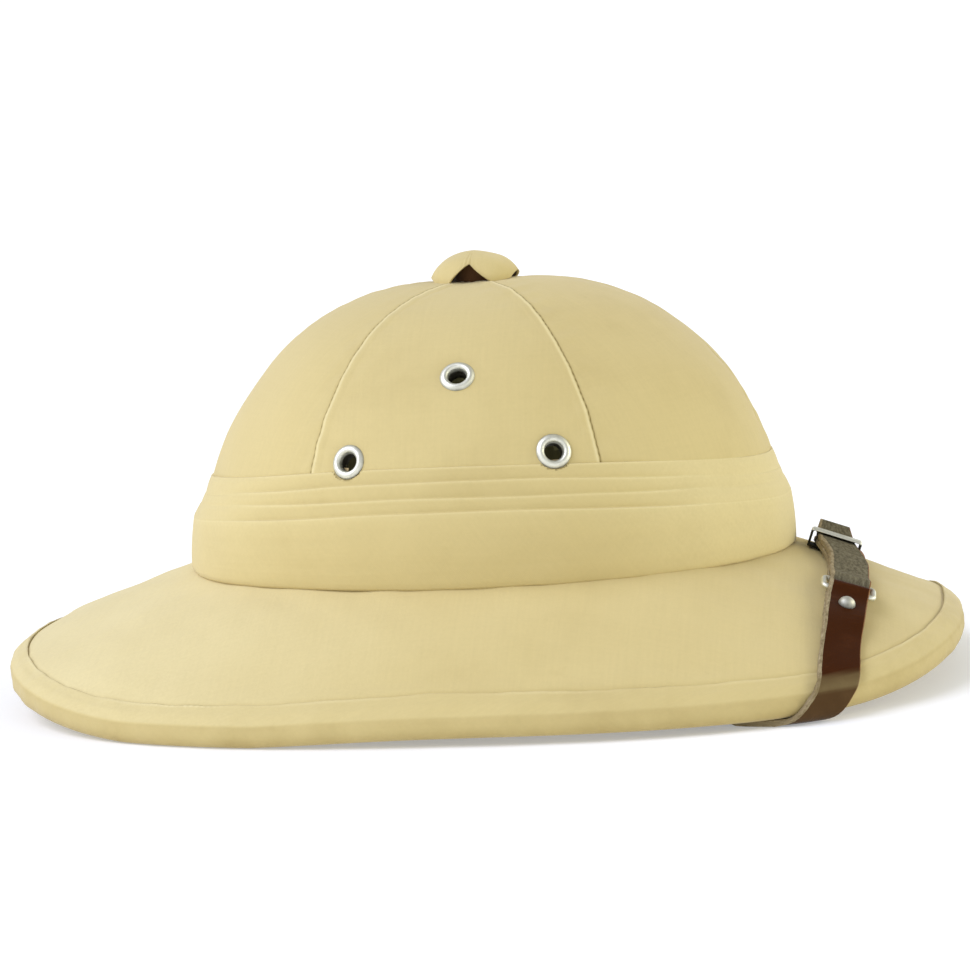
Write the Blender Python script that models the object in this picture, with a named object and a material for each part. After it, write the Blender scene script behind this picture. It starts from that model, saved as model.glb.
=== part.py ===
"""A cloth-covered pith helmet with a leather chin strap swung up over the front of its brim.

The hat stands on the table as it does by itself: +X is the front, +Y the wearer's left, +Z up,
and the origin is the middle of its foot print at table height. All sizes are in metres, and an
angle round the hat is measured in plan from the front towards the left.
"""

from math import cos, degrees, exp, hypot, pi, radians, sin

import bmesh
import bpy
from mathutils import Matrix, Vector

# Crown: an ellipse in plan, and a rounded profile in each direction.
CROWN_HEIGHT = 0.0990
BASE_HEIGHT = 0.0455
CROWN_FRONT = 0.1088
CROWN_SIDE = 0.0921
APEX_SHIFT = -0.0015
# profile: (fullness between foot and top, squareness of the shoulder)
PROFILES = {
    "front": (0.060, -0.021),
    "side": (0.079, 0.015),
    "rear": (0.036, -0.023),
}
VENT_RADIUS = 0.0070

# Brim, in plan from the middle of the crown.
BRIM_FRONT = 0.1711
BRIM_REAR = 0.1782
BRIM_SIDE = 0.1420
BRIM_SQUARENESS = 2.50
BRIM_CROWNING = 0.0017
CENTRE_X = (BRIM_REAR - BRIM_FRONT) / 2
# Height of the rim's lower edge above the table: (name, angle, height). A height below the
# table is the flat on which the hat rests.
RIM_HEIGHTS = (
    ("front", 0, 0.0117),
    ("front quarter", 50, 0.0023),
    ("side", 86, 0.0025),
    ("rear quarter", 115, -0.0006),
    ("rear", 180, 0.0121),
)
RIM_FACE = 0.0087

# Walls and the gaps between pieces.
GAP = 0.0003
CLOTH = 0.0010
CROWN_WALL = 0.0030
RIM_WALL = 0.0042
SEAM_GAP = 0.0004

# Rings round the hat, and rows from the foot of the crown to its vent.
RINGS = 36
PANELS = 6
ROW_ANGLES = (0, 7, 14, 22, 30, 38, 46, 54, 62, 70, 78)
# The moulded body is in segments whose joints lie so far round from the panels' seams.
SEGMENTS = 6
SEGMENT_TURN = 20
# Rows of the brim, as distances in from the rim.
BRIM_ROWS = (0.040, 0.026, 0.014)
BAND_WIDTH = 0.0068

# Section of the rim under its cloth, outside of the vertical edge being 0:
# (name, distance out, height above the rim's lower edge)
RIM_SECTION = (
    ("shoulder", -0.0030, None),
    ("corner", -0.0016, 0.0070),
    ("face top", -0.0012, 0.0060),
    ("face foot", -0.0012, 0.0022),
    ("heel", -0.0022, 0.0013),
    ("sole", -0.0052, 0.0013),
    ("inner heel", -0.0062, 0.0024),
)
# So many of them, from the shoulder on, are on the brim's upper side.
FACE_TOP = 3
UNDER_ROWS = (0.030, 0.0125)

# Folds of the puggaree, from the top down: (name, height of its upper edge above the foot of
# the crown at front and rear, the same at the sides, how far it stands out from the panels at
# front and rear, the same at the sides).
FOLDS = (
    ("first fold", 0.0336, 0.0403, 0.0009, 0.0009),
    ("second fold", 0.0275, 0.0355, 0.0012, 0.0012),
    ("third fold", 0.0241, 0.0298, 0.0018, 0.0015),
    ("plain band", 0.0180, 0.0252, 0.0030, 0.0022),
)
FOLD_PINCH = 0.0004
PUGGAREE_FOOT = 0.0008

# Ventilator button on the top.
CAP_RADIUS = 0.0163
CAP_HEIGHT = 0.0123
CAP_WALL = 0.0016
CAP_SIDES = 20
CAP_RISES = (0, 16, 34, 52, 68, 82)
CAP_SQUARENESS = 1.80
ARCHES = 4
ARCH_WIDTH = 0.0130
ARCH_HEIGHT = 0.0056
# Outline of one half of an arch: (share of half its width, share of its height).
ARCH_OUTLINE = ((1.0, -1.0), (1.0, 0.0), (0.45, 0.66), (0.12, 0.97))

# Eyelets in the two side panels: (name, angle round the hat, height above the foot).
EYELETS = (
    ("top", 87.9, 0.0698),
    ("front", 69.0, 0.0437),
    ("rear", 111.2, 0.0428),
)
EYELET_SIDES = 12
EYELET_HOLE = 0.0043
EYELET_FLANGE = 0.0061
HOLE_REACH = 0.012
# Section of an eyelet: (distance from its axis, height above the cloth).
EYELET_SECTION = (
    (0.0031, -0.0049),
    (0.0031, 0.0002),
    (0.0036, 0.0010),
    (0.0046, 0.0013),
    (0.0056, 0.0010),
    (0.0061, 0.0003),
    (0.0037, 0.0003),
    (0.0037, -0.0049),
)

# Chin strap. Its line in plan is drawn in a little at the middle of the brim, and leans back
# towards the rim.
LEATHER = 0.0020
STRAP_WIDTH = 0.0142
STRAP_X = 0.1302
STRAP_PULL = 0.0056
STRAP_PULL_SPREAD = 0.0145
STRAP_LEAN = 0.055
STRAP_LEAN_START = 0.052
LAYER_LIFT = GAP + LEATHER / 2
LAYER_STEP = LEATHER + GAP
# How the strap turns to meet the rim: (distance from the middle, skew of its cross section).
STRAP_TURN = ((0.060, 0.0), (0.074, 0.20), (0.087, 0.55), (0.096, 0.80))
STRAP_SLANT = 0.95
STRAP_UNDER_LEVEL = 0.008
# The posts under the brim that the straps hang on.
POST_X = 0.0440
POST_Y = 0.0935
POST_TAIL = 0.007
POST_HOLE = 0.0024
POST_SIDES = 12
# Section of a post: (distance from its axis, height over the brim's cloth).
POST_SECTION = ((0.0040, -0.0104), (0.0040, -0.0092), (0.0020, -0.0092), (0.0020, -0.0063))
POST_STRAP_LIFT = -0.0078

# Wire loop between the two straps.
LOOP_Y = -0.0545
LOOP_WIRE = 0.0010
LOOP_BAR = 0.0036
LOOP_HALF_WIDTH = 0.0088
LOOP_CORNER = 0.0013
LOOP_WIRE_SIDES = 8
FOLD_RADIUS = LOOP_WIRE + GAP + LEATHER / 2
LOOP_LIFT = LAYER_LIFT + FOLD_RADIUS

# Slide round both layers of the long strap, and how high it lifts them.
SLIDE_LENGTH = 0.0086
SLIDE_LIFT = 0.0011
# Section of the slide: (half its width, height above the brim), outside and inside.
SLIDE_OUTSIDE = ((0.0095, 0.0003), (0.0095, 0.0064), (0.0088, 0.0070))
SLIDE_INSIDE = ((0.0086, 0.0011), (0.0086, 0.0059), (0.0082, 0.0062))
# Stations of the long strap near the slide: (y, share of the slide's lift).
SLIDE_STATIONS = ((0.016, 0.0), (0.007, 1.0), (0.0, 1.0), (-0.007, 1.0), (-0.016, 0.0))
# The free end stands up behind the slide: (y, height over the layer in the slide).
STRAP_END = ((0.0054, 0.0), (0.0097, 0.0030))
UPPER_STATIONS = (-0.043, -0.034, -0.025)

# Free end of the short strap under itself, and the rivet that holds it.
TAIL_STATIONS = (-0.0660, -0.0735)
# Stations of the stretch over it: (y, share of one layer's height, skew of its cross section).
RUN_STATIONS = ((-0.0650, 1.0, 0.0), (-0.0760, 1.0, 0.24), (-0.0865, 0.0, 0.54))
RIVET_Y = -0.0690
RIVET_HOLE = 0.0013
RIVET_SIDES = 10
# Section of the rivet: (distance from its axis, height above the strap).
RIVET_SECTION = (
    (0.0010, -0.0040),
    (0.0010, 0.0002),
    (0.0030, 0.0002),
    (0.0030, 0.0007),
    (0.0025, 0.0015),
    (0.0015, 0.0021),
    (0.0005, 0.0023),
)

# Surface colour, roughness and metallic value of each finish.
FINISHES = {
    "cloth": ((0.72, 0.60, 0.31), 0.85, 0.0),
    "moulded": ((0.62, 0.52, 0.30), 0.90, 0.0),
    "leather": ((0.07, 0.02, 0.005), 0.30, 0.0),
    "nickel": ((0.78, 0.78, 0.75), 0.25, 1.0),
}


def blend(low, high, share):
    """A value between two others."""
    return low + (high - low) * share


def eased(share):
    """A share from 0 to 1 that starts and ends level."""
    return (1 - cos(pi * share)) / 2


# ---------------------------------------------------------------- the hat's surfaces


def profile(name, half_width, rise):
    """Distance out and height of the crown's outline in one direction, at an angle of rise."""
    fullness, squareness = PROFILES[name]
    reach = 1 / hypot(cos(rise) / half_width, sin(rise) / CROWN_HEIGHT)
    reach *= 1 + fullness * sin(2 * rise) + squareness * sin(4 * rise)
    return reach * cos(rise), reach * sin(rise)


def crown_point(rise, angle):
    """A point on the outside of the crown's cloth."""
    end = "front" if cos(angle) > 0 else "rear"
    out_x, up_x = profile(end, CROWN_FRONT, rise)
    out_y, up_y = profile("side", CROWN_SIDE, rise)
    up = up_x * cos(angle) ** 2 + up_y * sin(angle) ** 2
    shift = APEX_SHIFT * max(up / CROWN_HEIGHT, 0) ** 1.5
    return Vector((CENTRE_X + out_x * cos(angle) + shift, out_y * sin(angle), BASE_HEIGHT + up))


def crown_normal(rise, angle):
    """The direction straight out of the crown there."""
    step = 0.01
    along = crown_point(rise, angle + step) - crown_point(rise, angle - step)
    up = crown_point(rise + step, angle) - crown_point(rise - step, angle)
    return along.cross(up).normalized()


def crown_offset(rise, angle, out):
    """A point at a distance from the crown's cloth, negative to the inside."""
    return crown_point(rise, angle) + crown_normal(rise, angle) * out


def rise_at_height(height, angle):
    """The angle of rise where the crown is so high above its foot."""
    low, high = 0.0, pi / 2
    for _ in range(30):
        middle = (low + high) / 2
        if crown_point(middle, angle).z - BASE_HEIGHT < height:
            low = middle
        else:
            high = middle
    return low


def rise_at_reach(reach, angle):
    """The angle of rise where the crown has narrowed to a distance from its top, in plan."""
    top = crown_point(pi / 2, 0).xy
    low, high = pi / 6, pi / 2
    for _ in range(30):
        middle = (low + high) / 2
        if (crown_point(middle, angle).xy - top).length > reach:
            low = middle
        else:
            high = middle
    return low


def rim_height(angle):
    """Height of the rim's lower edge above the table."""
    turn = abs(degrees(angle) + 180) % 360 - 180
    turn = abs(turn)
    for (_, start, low), (_, end, high) in zip(RIM_HEIGHTS, RIM_HEIGHTS[1:]):
        if turn <= end + 1e-6:
            return max(blend(low, high, eased((turn - start) / (end - start))), 0.0)
    return RIM_HEIGHTS[-1][2]


def rim_point(angle):
    """The rim's outline in plan, at table height."""
    power = 2 / BRIM_SQUARENESS
    reach = BRIM_FRONT if cos(angle) > 0 else BRIM_REAR
    x = reach * abs(cos(angle)) ** power * (1 if cos(angle) > 0 else -1)
    y = BRIM_SIDE * abs(sin(angle)) ** power * (1 if sin(angle) > 0 else -1)
    return Vector((CENTRE_X + x, y, 0))


class BrimSection:
    """The upright plane through the brim at one angle, from the foot of the crown to the rim."""

    def __init__(self, angle):
        foot = crown_point(0, angle)
        foot.z = 0
        self.rim = rim_point(angle)
        self.out = (self.rim - foot).normalized()
        self.length = (self.rim - foot).length
        self.rim_height = rim_height(angle)
        self.top = self.rim_height + RIM_FACE

    def height(self, inward):
        """Height of the brim's cloth at a distance in from the rim."""
        share = inward / self.length
        return blend(self.top, BASE_HEIGHT, share) + BRIM_CROWNING * 4 * share * (1 - share)

    def surface(self, inward, out=0.0):
        """(distance out, height) of a point at a distance from the brim's cloth."""
        step = 0.0005
        slope = (self.height(inward + step) - self.height(inward - step)) / (2 * step)
        size = hypot(slope, 1)
        return -inward + out * slope / size, self.height(inward) + out / size

    def place(self, pair):
        """The point in space of a (distance out, height) pair."""
        point = self.rim + self.out * pair[0]
        point.z = pair[1]
        return point

    def foot(self, out, drop):
        """A point beside the foot of the crown, in from its outline and below it."""
        return -self.length + out, BASE_HEIGHT - drop

    def rim_core(self):
        """The rim's section under its cloth, from the shoulder round to the inner heel."""
        pairs = [self.surface(-RIM_SECTION[0][1], -CLOTH - GAP)]
        for _, out, height in RIM_SECTION[1:]:
            pairs.append((out, self.rim_height + height))
        return pairs


def offset_line(pairs, distance):
    """The same open line, moved to its left by a distance."""
    moved = []
    for i, (x, y) in enumerate(pairs):
        before = pairs[max(i - 1, 0)]
        after = pairs[min(i + 1, len(pairs) - 1)]
        normals = []
        for a, b in ((before, (x, y)), ((x, y), after)):
            size = hypot(b[0] - a[0], b[1] - a[1])
            if size > 1e-9:
                normals.append(((a[1] - b[1]) / size, (b[0] - a[0]) / size))
        nx = sum(n[0] for n in normals)
        ny = sum(n[1] for n in normals)
        scale = 2 * distance / (nx * nx + ny * ny) * len(normals) / 2
        moved.append((x + nx * scale, y + ny * scale))
    return moved


# ---------------------------------------------------------------- making solids


def finished(name, mesh, finish):
    """An object of the mesh, with the material of its finish."""
    obj = bpy.data.objects.new(name, mesh)
    bpy.context.scene.collection.objects.link(obj)
    colour, roughness, metallic = FINISHES[finish]
    material = bpy.data.materials.new(name)
    material.use_nodes = True
    shader = material.node_tree.nodes["Principled BSDF"]
    shader.inputs["Base Color"].default_value = (*colour, 1)
    shader.inputs["Roughness"].default_value = roughness
    shader.inputs["Metallic"].default_value = metallic
    mesh.materials.append(material)
    mesh.shade_smooth()
    mesh.set_sharp_from_angle(angle=radians(40))
    return obj


def solid(name, points, faces, finish):
    """A closed solid from points and faces, with its faces turned outwards."""
    mesh = bpy.data.meshes.new(name)
    build = bmesh.new()
    verts = [build.verts.new(point) for point in points]
    for face in faces:
        build.faces.new([verts[i] for i in face])
    bmesh.ops.triangulate(build, faces=build.faces, quad_method="SHORT_EDGE")
    bmesh.ops.recalc_face_normals(build, faces=build.faces)
    build.to_mesh(mesh)
    build.free()
    return finished(name, mesh, finish)


def ring_solid(name, rings, finish):
    """A solid whose section goes round a closed hoop: one closed section line for each ring."""
    count, size = len(rings), len(rings[0])
    points = [point for ring in rings for point in ring]
    faces = []
    for i in range(count):
        for j in range(size):
            a, b = i * size, (i + 1) % count * size
            k = (j + 1) % size
            faces.append((a + j, b + j, b + k, a + k))
    return solid(name, points, faces, finish)


def sheet_solid(name, outer, inner, finish):
    """A sheet between two grids of points, closed round its four borders."""
    rows, columns = len(outer), len(outer[0])
    points = [p for row in outer for p in row] + [p for row in inner for p in row]
    under = rows * columns
    faces = []
    for i in range(rows - 1):
        for j in range(columns - 1):
            a = i * columns + j
            quad = (a, a + 1, a + columns + 1, a + columns)
            faces.append(quad)
            faces.append(tuple(v + under for v in reversed(quad)))
    border = [j for j in range(columns)]
    border += [i * columns + columns - 1 for i in range(1, rows)]
    border += [(rows - 1) * columns + j for j in range(columns - 2, -1, -1)]
    border += [i * columns for i in range(rows - 2, 0, -1)]
    for a, b in zip(border, border[1:] + border[:1]):
        faces.append((a, a + under, b + under, b))
    return solid(name, points, faces, finish)


def swept_solid(name, sections, finish):
    """A solid that joins closed sections one after another, flat at both ends."""
    size = len(sections[0])
    points = [point for section in sections for point in section]
    faces = [tuple(range(size)), tuple(range(len(points) - size, len(points)))]
    for i in range(len(sections) - 1):
        for j in range(size):
            k = (j + 1) % size
            faces.append((i * size + j, i * size + k, (i + 1) * size + k, (i + 1) * size + j))
    return solid(name, points, faces, finish)


def axis_frame(origin, axis, forward=Vector((1, 0, 0))):
    """A matrix that stands its Z on an axis, with X as near forward as that leaves."""
    z = axis.normalized()
    x = (forward - z * forward.dot(z)).normalized()
    y = z.cross(x)
    return Matrix((x, y, z)).transposed().to_4x4(), origin


def turned(frame, section, sides):
    """Rings of a turned section, (distance from the axis, height), one ring for each side."""
    turn, origin = frame
    rings = []
    for i in range(sides):
        angle = 2 * pi * i / sides
        ring = [Vector((r * cos(angle), r * sin(angle), h)) for r, h in section]
        rings.append([origin + turn @ point for point in ring])
    return rings


def cut(target, cutter):
    """Takes the cutter's shape out of the target and keeps the cutter as a hidden guide."""
    cutter.hide_render = True
    cutter.display_type = "WIRE"
    cutter.hide_set(True)
    modifier = target.modifiers.new("cut " + cutter.name, "BOOLEAN")
    modifier.operation = "DIFFERENCE"
    modifier.solver = "EXACT"
    modifier.object = cutter


def pin(name, frame, section, sides, finish="nickel"):
    """A solid turned about the frame's Z from rows of (radius, height), flat at both ends."""
    turn, origin = frame
    sections = []
    for radius, height in section:
        ring = []
        for i in range(sides):
            angle = 2 * pi * i / sides
            ring.append(origin + turn @ Vector((radius * cos(angle), radius * sin(angle), height)))
        sections.append(ring)
    return swept_solid(name, sections, finish)


# ---------------------------------------------------------------- crown and brim


def hat_angles():
    """The angles of the rings round the hat."""
    return [2 * pi * i / RINGS for i in range(RINGS)]


def crown_rows():
    """The angles of rise of the rows, from the foot to the edge of the vent."""
    return [radians(row) for row in ROW_ANGLES] + [rise_at_reach(VENT_RADIUS, pi / 2)]


def columns_between(start, pieces):
    """The angles of the columns of one piece, of so many equal ones round the hat."""
    columns = RINGS // pieces
    return [start + 2 * pi * column / RINGS for column in range(columns + 1)]


def parted(row):
    """A row of points whose ends are moved in by half the gap to the next piece."""
    ends = []
    for end, after in ((row[0], row[1]), (row[-1], row[-2])):
        ends.append(end.lerp(after, SEAM_GAP / 2 / (after - end).length))
    return [ends[0], *row[1:-1], ends[1]]


def make_body():
    """The moulded body in segments: a row of them for the crown, and one for the brim."""
    outer, inner = -CLOTH - GAP, -CLOTH - GAP - CROWN_WALL
    rows = crown_rows()
    rows = rows[::2] + rows[-1:]
    segments = []
    for number in range(SEGMENTS):
        start = radians(SEGMENT_TURN) + number * 2 * pi / SEGMENTS
        angles = columns_between(start, SEGMENTS)
        sections = [BrimSection(angle) for angle in angles]
        drop = CLOTH + GAP - SEAM_GAP / 2
        outside = [[s.place(s.foot(outer, drop)) for s in sections]]
        inside = [[s.place(s.foot(inner, drop + CROWN_WALL)) for s in sections]]
        for rise in rows:
            outside.append([crown_offset(rise, angle, outer) for angle in angles])
            inside.append([crown_offset(rise, angle, inner) for angle in angles])
        outside, inside = [parted(row) for row in outside], [parted(row) for row in inside]
        segments.append(sheet_solid(f"body_crown_{number + 1}", outside, inside, "moulded"))
        drop += SEAM_GAP
        upper, lower = [], []
        for section in sections:
            core = section.rim_core()
            above = [section.foot(outer, drop)]
            above += [section.surface(row, outer) for row in BRIM_ROWS] + core[:FACE_TOP]
            below = [section.foot(inner, drop + CROWN_WALL)]
            below += [section.surface(row, -RIM_WALL - CLOTH) for row in UNDER_ROWS]
            below += core[FACE_TOP:][::-1]
            upper.append([section.place(pair) for pair in above])
            lower.append([section.place(pair) for pair in below])
        upper, lower = ([parted(row) for row in zip(*columns)] for columns in (upper, lower))
        sheet_solid(f"body_brim_{number + 1}", upper, lower, "moulded")
    return segments


def make_panels():
    """The six cloth gores, each between two seams."""
    panels = []
    for number in range(PANELS):
        angles = columns_between(number * 2 * pi / PANELS, PANELS)
        outer, inner = [], []
        for rise in crown_rows():
            lift = Vector((0, 0, PUGGAREE_FOOT if rise == 0 else 0))
            outer.append(parted([crown_offset(rise, angle, 0) + lift for angle in angles]))
            inner.append(parted([crown_offset(rise, angle, -CLOTH) + lift for angle in angles]))
        panels.append(sheet_solid(f"crown_panel_{number + 1}", outer, inner, "cloth"))
    return panels


def make_brim_cover():
    """The cloth ring over the top of the brim, from the foot of the crown to the band."""
    rings = []
    for angle in hat_angles():
        section = BrimSection(angle)
        rows = [*BRIM_ROWS[:2], BAND_WIDTH + SEAM_GAP]
        top = [section.foot(GAP, 0)] + [section.surface(row) for row in rows]
        under = [section.foot(GAP, CLOTH)] + [section.surface(row, -CLOTH) for row in rows]
        rings.append([section.place(pair) for pair in top + under[::-1]])
    return ring_solid("brim_cover", rings, "cloth")


def make_edge_band():
    """The cloth binding round the thick edge of the brim."""
    rings = []
    for angle in hat_angles():
        section = BrimSection(angle)
        core = [section.surface(BAND_WIDTH, -CLOTH - GAP)] + section.rim_core()
        inner = offset_line(core, GAP)
        outer = offset_line(core, GAP + CLOTH)
        floor = section.rim_height
        outer = [(out, max(height, floor)) for out, height in outer]
        rings.append([section.place(pair) for pair in outer + inner[::-1]])
    return ring_solid("edge_band", rings, "cloth")


def make_puggaree():
    """The pleated band: each fold's upper edge stands over the fold above it."""
    rings = []
    for angle in hat_angles():
        side = sin(angle) ** 2
        edges = [blend(fold[1], fold[2], side) for fold in FOLDS]
        outs = [blend(fold[3], fold[4], side) for fold in FOLDS]
        outer = []
        for i, (edge, out) in enumerate(zip(edges, outs)):
            foot = edges[i + 1] if i + 1 < len(edges) else None
            outer.append((edge, out))
            if foot is not None:
                outer.append((foot + FOLD_PINCH, out - FOLD_PINCH))
        outer += [(edges[-1] / 2, outs[-1]), (PUGGAREE_FOOT, outs[-1] - FOLD_PINCH)]
        line = [crown_offset(rise_at_height(z, angle), angle, out) for z, out in outer]
        rises = [radians(row) for row in ROW_ANGLES if row < 24 and row > 0]
        top = rise_at_height(edges[0], angle)
        inner = [crown_offset(0, angle, GAP) + Vector((0, 0, PUGGAREE_FOOT))]
        inner += [crown_offset(rise, angle, GAP) for rise in rises if rise < top - 0.03]
        while len(inner) < 4:
            inner.append(inner[-1].lerp(crown_offset(top, angle, GAP), 0.5))
        inner.append(crown_offset(top, angle, GAP))
        rings.append(line + inner)
    return ring_solid("puggaree", rings, "cloth")


# ---------------------------------------------------------------- ventilator and eyelets


def cap_line(angle, top, wall):
    """The ventilator button's outline at one angle, from its edge up, at a depth in its wall."""
    seat = crown_point(rise_at_reach(CAP_RADIUS, angle), angle).z + GAP
    power = 2 / CAP_SQUARENESS
    line = []
    for rise in CAP_RISES:
        reach = (CAP_RADIUS - wall) * cos(radians(rise)) ** power
        height = blend(seat, top.z + CAP_HEIGHT - wall, sin(radians(rise)) ** power)
        line.append(Vector((top.x + reach * cos(angle), top.y + reach * sin(angle), height)))
    return line


def make_cap():
    """The ventilator button, closed at the top, with arches cut up into its edge."""
    top = crown_point(pi / 2, 0)
    points, faces = [], []
    for i in range(CAP_SIDES):
        angle = 2 * pi * i / CAP_SIDES
        points += cap_line(angle, top, 0) + cap_line(angle, top, CAP_WALL)[::-1]
    rows = len(CAP_RISES)
    size = 2 * rows
    for i in range(CAP_SIDES):
        a, b = i * size, (i + 1) % CAP_SIDES * size
        for j in range(size):
            if j != rows - 1:
                k = (j + 1) % size
                faces.append((a + j, b + j, b + k, a + k))
    for row in (rows - 1, rows):
        faces.append(tuple(i * size + row for i in range(CAP_SIDES)))
    cap = solid("top_cap", points, faces, "cloth")
    for number in range(ARCHES):
        angle = 2 * pi * number / ARCHES
        out = Vector((cos(angle), sin(angle), 0))
        across = Vector((-sin(angle), cos(angle), 0))
        sections = []
        for reach in (CAP_RADIUS / 2, CAP_RADIUS * 1.2):
            foot = top + out * reach
            foot.z = crown_point(rise_at_reach(CAP_RADIUS, angle), angle).z
            half = [(w * ARCH_WIDTH / 2, h * ARCH_HEIGHT) for w, h in ARCH_OUTLINE]
            outline = half + [(-w, h) for w, h in reversed(half)]
            sections.append([foot + across * w + Vector((0, 0, h)) for w, h in outline])
        cut(cap, swept_solid(f"cutter_arch_{number + 1}", sections, "cloth"))


def make_eyelets(segments, panels, puggaree):
    """Six eyelets, and the holes that their barrels and flanges need in what they pass."""
    for side, hand in ((-1, "right"), (1, "left")):
        for place, turn, height in EYELETS:
            angle = radians(turn) * side
            rise = rise_at_height(height, angle)
            frame = axis_frame(crown_point(rise, angle), crown_normal(rise, angle))
            rings = turned(frame, EYELET_SECTION, EYELET_SIDES)
            ring_solid(f"eyelet_{hand}_{place}", rings, "nickel")
            section = ((EYELET_HOLE, -HOLE_REACH), (EYELET_HOLE, HOLE_REACH))
            hole = pin(f"cutter_hole_{hand}_{place}", frame, section, EYELET_SIDES)
            cut(segments[int((turn * side - SEGMENT_TURN) % 360 // (360 / SEGMENTS))], hole)
            cut(panels[int(turn * side % 360 // (360 / PANELS))], hole)
            if place != "top":
                reach = EYELET_FLANGE + GAP
                section = ((reach, -HOLE_REACH / 3), (reach, HOLE_REACH))
                cut(puggaree, pin(f"cutter_flange_{hand}_{place}", frame, section, EYELET_SIDES))


# ---------------------------------------------------------------- chin strap


def brim_above(x, y, lift):
    """A point at a height over the brim's cloth, straight out of it, above a place in plan."""
    side = 1 if y >= 0 else -1
    low, high = 0.0, pi / 2
    for _ in range(32):
        middle = (low + high) / 2
        section = BrimSection(middle)
        gap = Vector((x, abs(y), 0)) - section.rim
        if gap.cross(section.out).z > 0:
            high = middle
        else:
            low = middle
    section = BrimSection(low * side)
    inward = (section.rim - Vector((x, y, 0))).dot(section.out)
    return section.place(section.surface(inward, lift))


def strap_x(y):
    """Where the strap's middle line crosses the brim in plan."""
    pull = STRAP_PULL * exp(-((y / STRAP_PULL_SPREAD) ** 2))
    return CENTRE_X + STRAP_X - pull - STRAP_LEAN * max(abs(y) - STRAP_LEAN_START, 0)


def brim_frame(x, y, lift=0.0):
    """A frame over a place on the brim in plan: Z straight out of the brim, X forward."""
    step = 0.002
    foot = brim_above(x, y, 0)
    forward = brim_above(x + step, y, 0) - foot
    left = brim_above(x, y + step, 0) - foot
    up = forward.cross(left).normalized()
    return axis_frame(foot + up * lift, up)


def strap_frame(y, lift=0.0):
    """A frame on the strap's line over the brim."""
    return brim_frame(strap_x(y), y, lift)


def over_brim(y, lift, skew=0.0):
    """Both edges of a strap over the brim, at a height over the cloth."""
    turn, middle = strap_frame(y, lift)
    way = skew if y > 0 else -skew
    halves = (-STRAP_WIDTH / 2, STRAP_WIDTH / 2)
    return [middle + turn @ Vector((half, -half * way, 0)) for half in halves]


def onto_rim(side):
    """Edges of a strap from the straight stretch over the brim to its rim."""
    return [over_brim(side * away, LAYER_LIFT, skew) for away, skew in STRAP_TURN]


def rim_line(section):
    """The line that the middle of a strap follows round the rim, level at its end."""
    line = offset_line(section.rim_core()[:-1], CLOTH + 3 * GAP + LEATHER / 2)
    return [*line, (line[-1][0] - STRAP_UNDER_LEVEL, 0)]


def round_rim(side):
    """Edges of a strap as it winds aslant round the rim, and lies flat under it."""
    low, high = 0.0, pi / 2
    for _ in range(32):
        middle = (low + high) / 2
        section = BrimSection(middle)
        shoulder = section.place(section.surface(-RIM_SECTION[0][1]))
        if shoulder.x > strap_x(shoulder.y):
            low = middle
        else:
            high = middle
    angle = low
    rate = (rim_point(angle + 0.01) - rim_point(angle - 0.01)).length / 0.02
    half = STRAP_WIDTH / 2 * hypot(1, STRAP_SLANT) / rate
    edges = []
    for row in range(len(RIM_SECTION)):
        if row:
            (x0, z0), (x1, z1) = rim_line(BrimSection(angle))[row - 1:row + 1]
            angle += hypot(x1 - x0, z1 - z0) * STRAP_SLANT / rate
        pair = []
        for turn in (angle + half, angle - half):
            section = BrimSection(turn * side)
            point = section.place(rim_line(section)[row])
            point.z = max(point.z, LEATHER / 2)
            pair.append(point)
        edges.append(pair)
    return edges


def post_frame(side):
    """A frame over a post, from which the post's heights are measured down."""
    return brim_frame(CENTRE_X + POST_X, side * POST_Y)


def to_post(side, start):
    """Edges of a strap's hidden stretch, straight from the rim to its post."""
    turn, origin = post_frame(side)
    up = turn @ Vector((0, 0, 1))
    post = origin + up * POST_STRAP_LIFT
    along = post - (start[0] + start[1]) / 2
    along = (along - up * along.dot(up)).normalized()
    across = up.cross(along) * side * STRAP_WIDTH / 2
    edges = []
    for reach in (-POST_TAIL, 0, POST_TAIL):
        middle = post + along * reach
        edges.append([middle - across, middle + across])
    return edges


def round_bar(y, way):
    """Edges of a strap round a bar of the loop, from its lower layer to its upper one."""
    edges = []
    for turn in range(-90, 91, 30):
        reach = y + way * FOLD_RADIUS * cos(radians(turn))
        edges.append(over_brim(reach, LOOP_LIFT + FOLD_RADIUS * sin(radians(turn))))
    return edges


def strap_solid(name, edges):
    """A flat strap between two edge lines, with its thickness across them."""
    middles = [(a + b) / 2 for a, b in edges]
    sections = []
    for i, (a, b) in enumerate(edges):
        along = middles[min(i + 1, len(edges) - 1)] - middles[max(i - 1, 0)]
        across = (b - a).cross(along).normalized() * LEATHER / 2
        sections.append([a - across, b - across, b + across, a + across])
    return swept_solid(name, sections, "leather")


def make_long_strap():
    """From the left post round the rim, over the brim, through the slide and back from the loop."""
    rim = round_rim(1)
    edges = to_post(1, rim[-1])[::-1] + rim[::-1] + onto_rim(1)[::-1]
    edges += [over_brim(y, LAYER_LIFT) for y in (0.046, 0.031)]
    edges += [over_brim(y, LAYER_LIFT + share * SLIDE_LIFT) for y, share in SLIDE_STATIONS]
    edges += [over_brim(y, LAYER_LIFT) for y in reversed(UPPER_STATIONS)]
    edges += round_bar(LOOP_Y + LOOP_BAR, -1)
    upper = LAYER_LIFT + LAYER_STEP
    edges += [over_brim(y, upper) for y in UPPER_STATIONS]
    for y, share in reversed(SLIDE_STATIONS[2:]):
        edges.append(over_brim(y, upper + share * SLIDE_LIFT))
    for y, lift in STRAP_END:
        edges.append(over_brim(y, upper + SLIDE_LIFT + lift))
    strap = strap_solid("strap_long", edges)
    make_post(strap, 1, "left")


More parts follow.
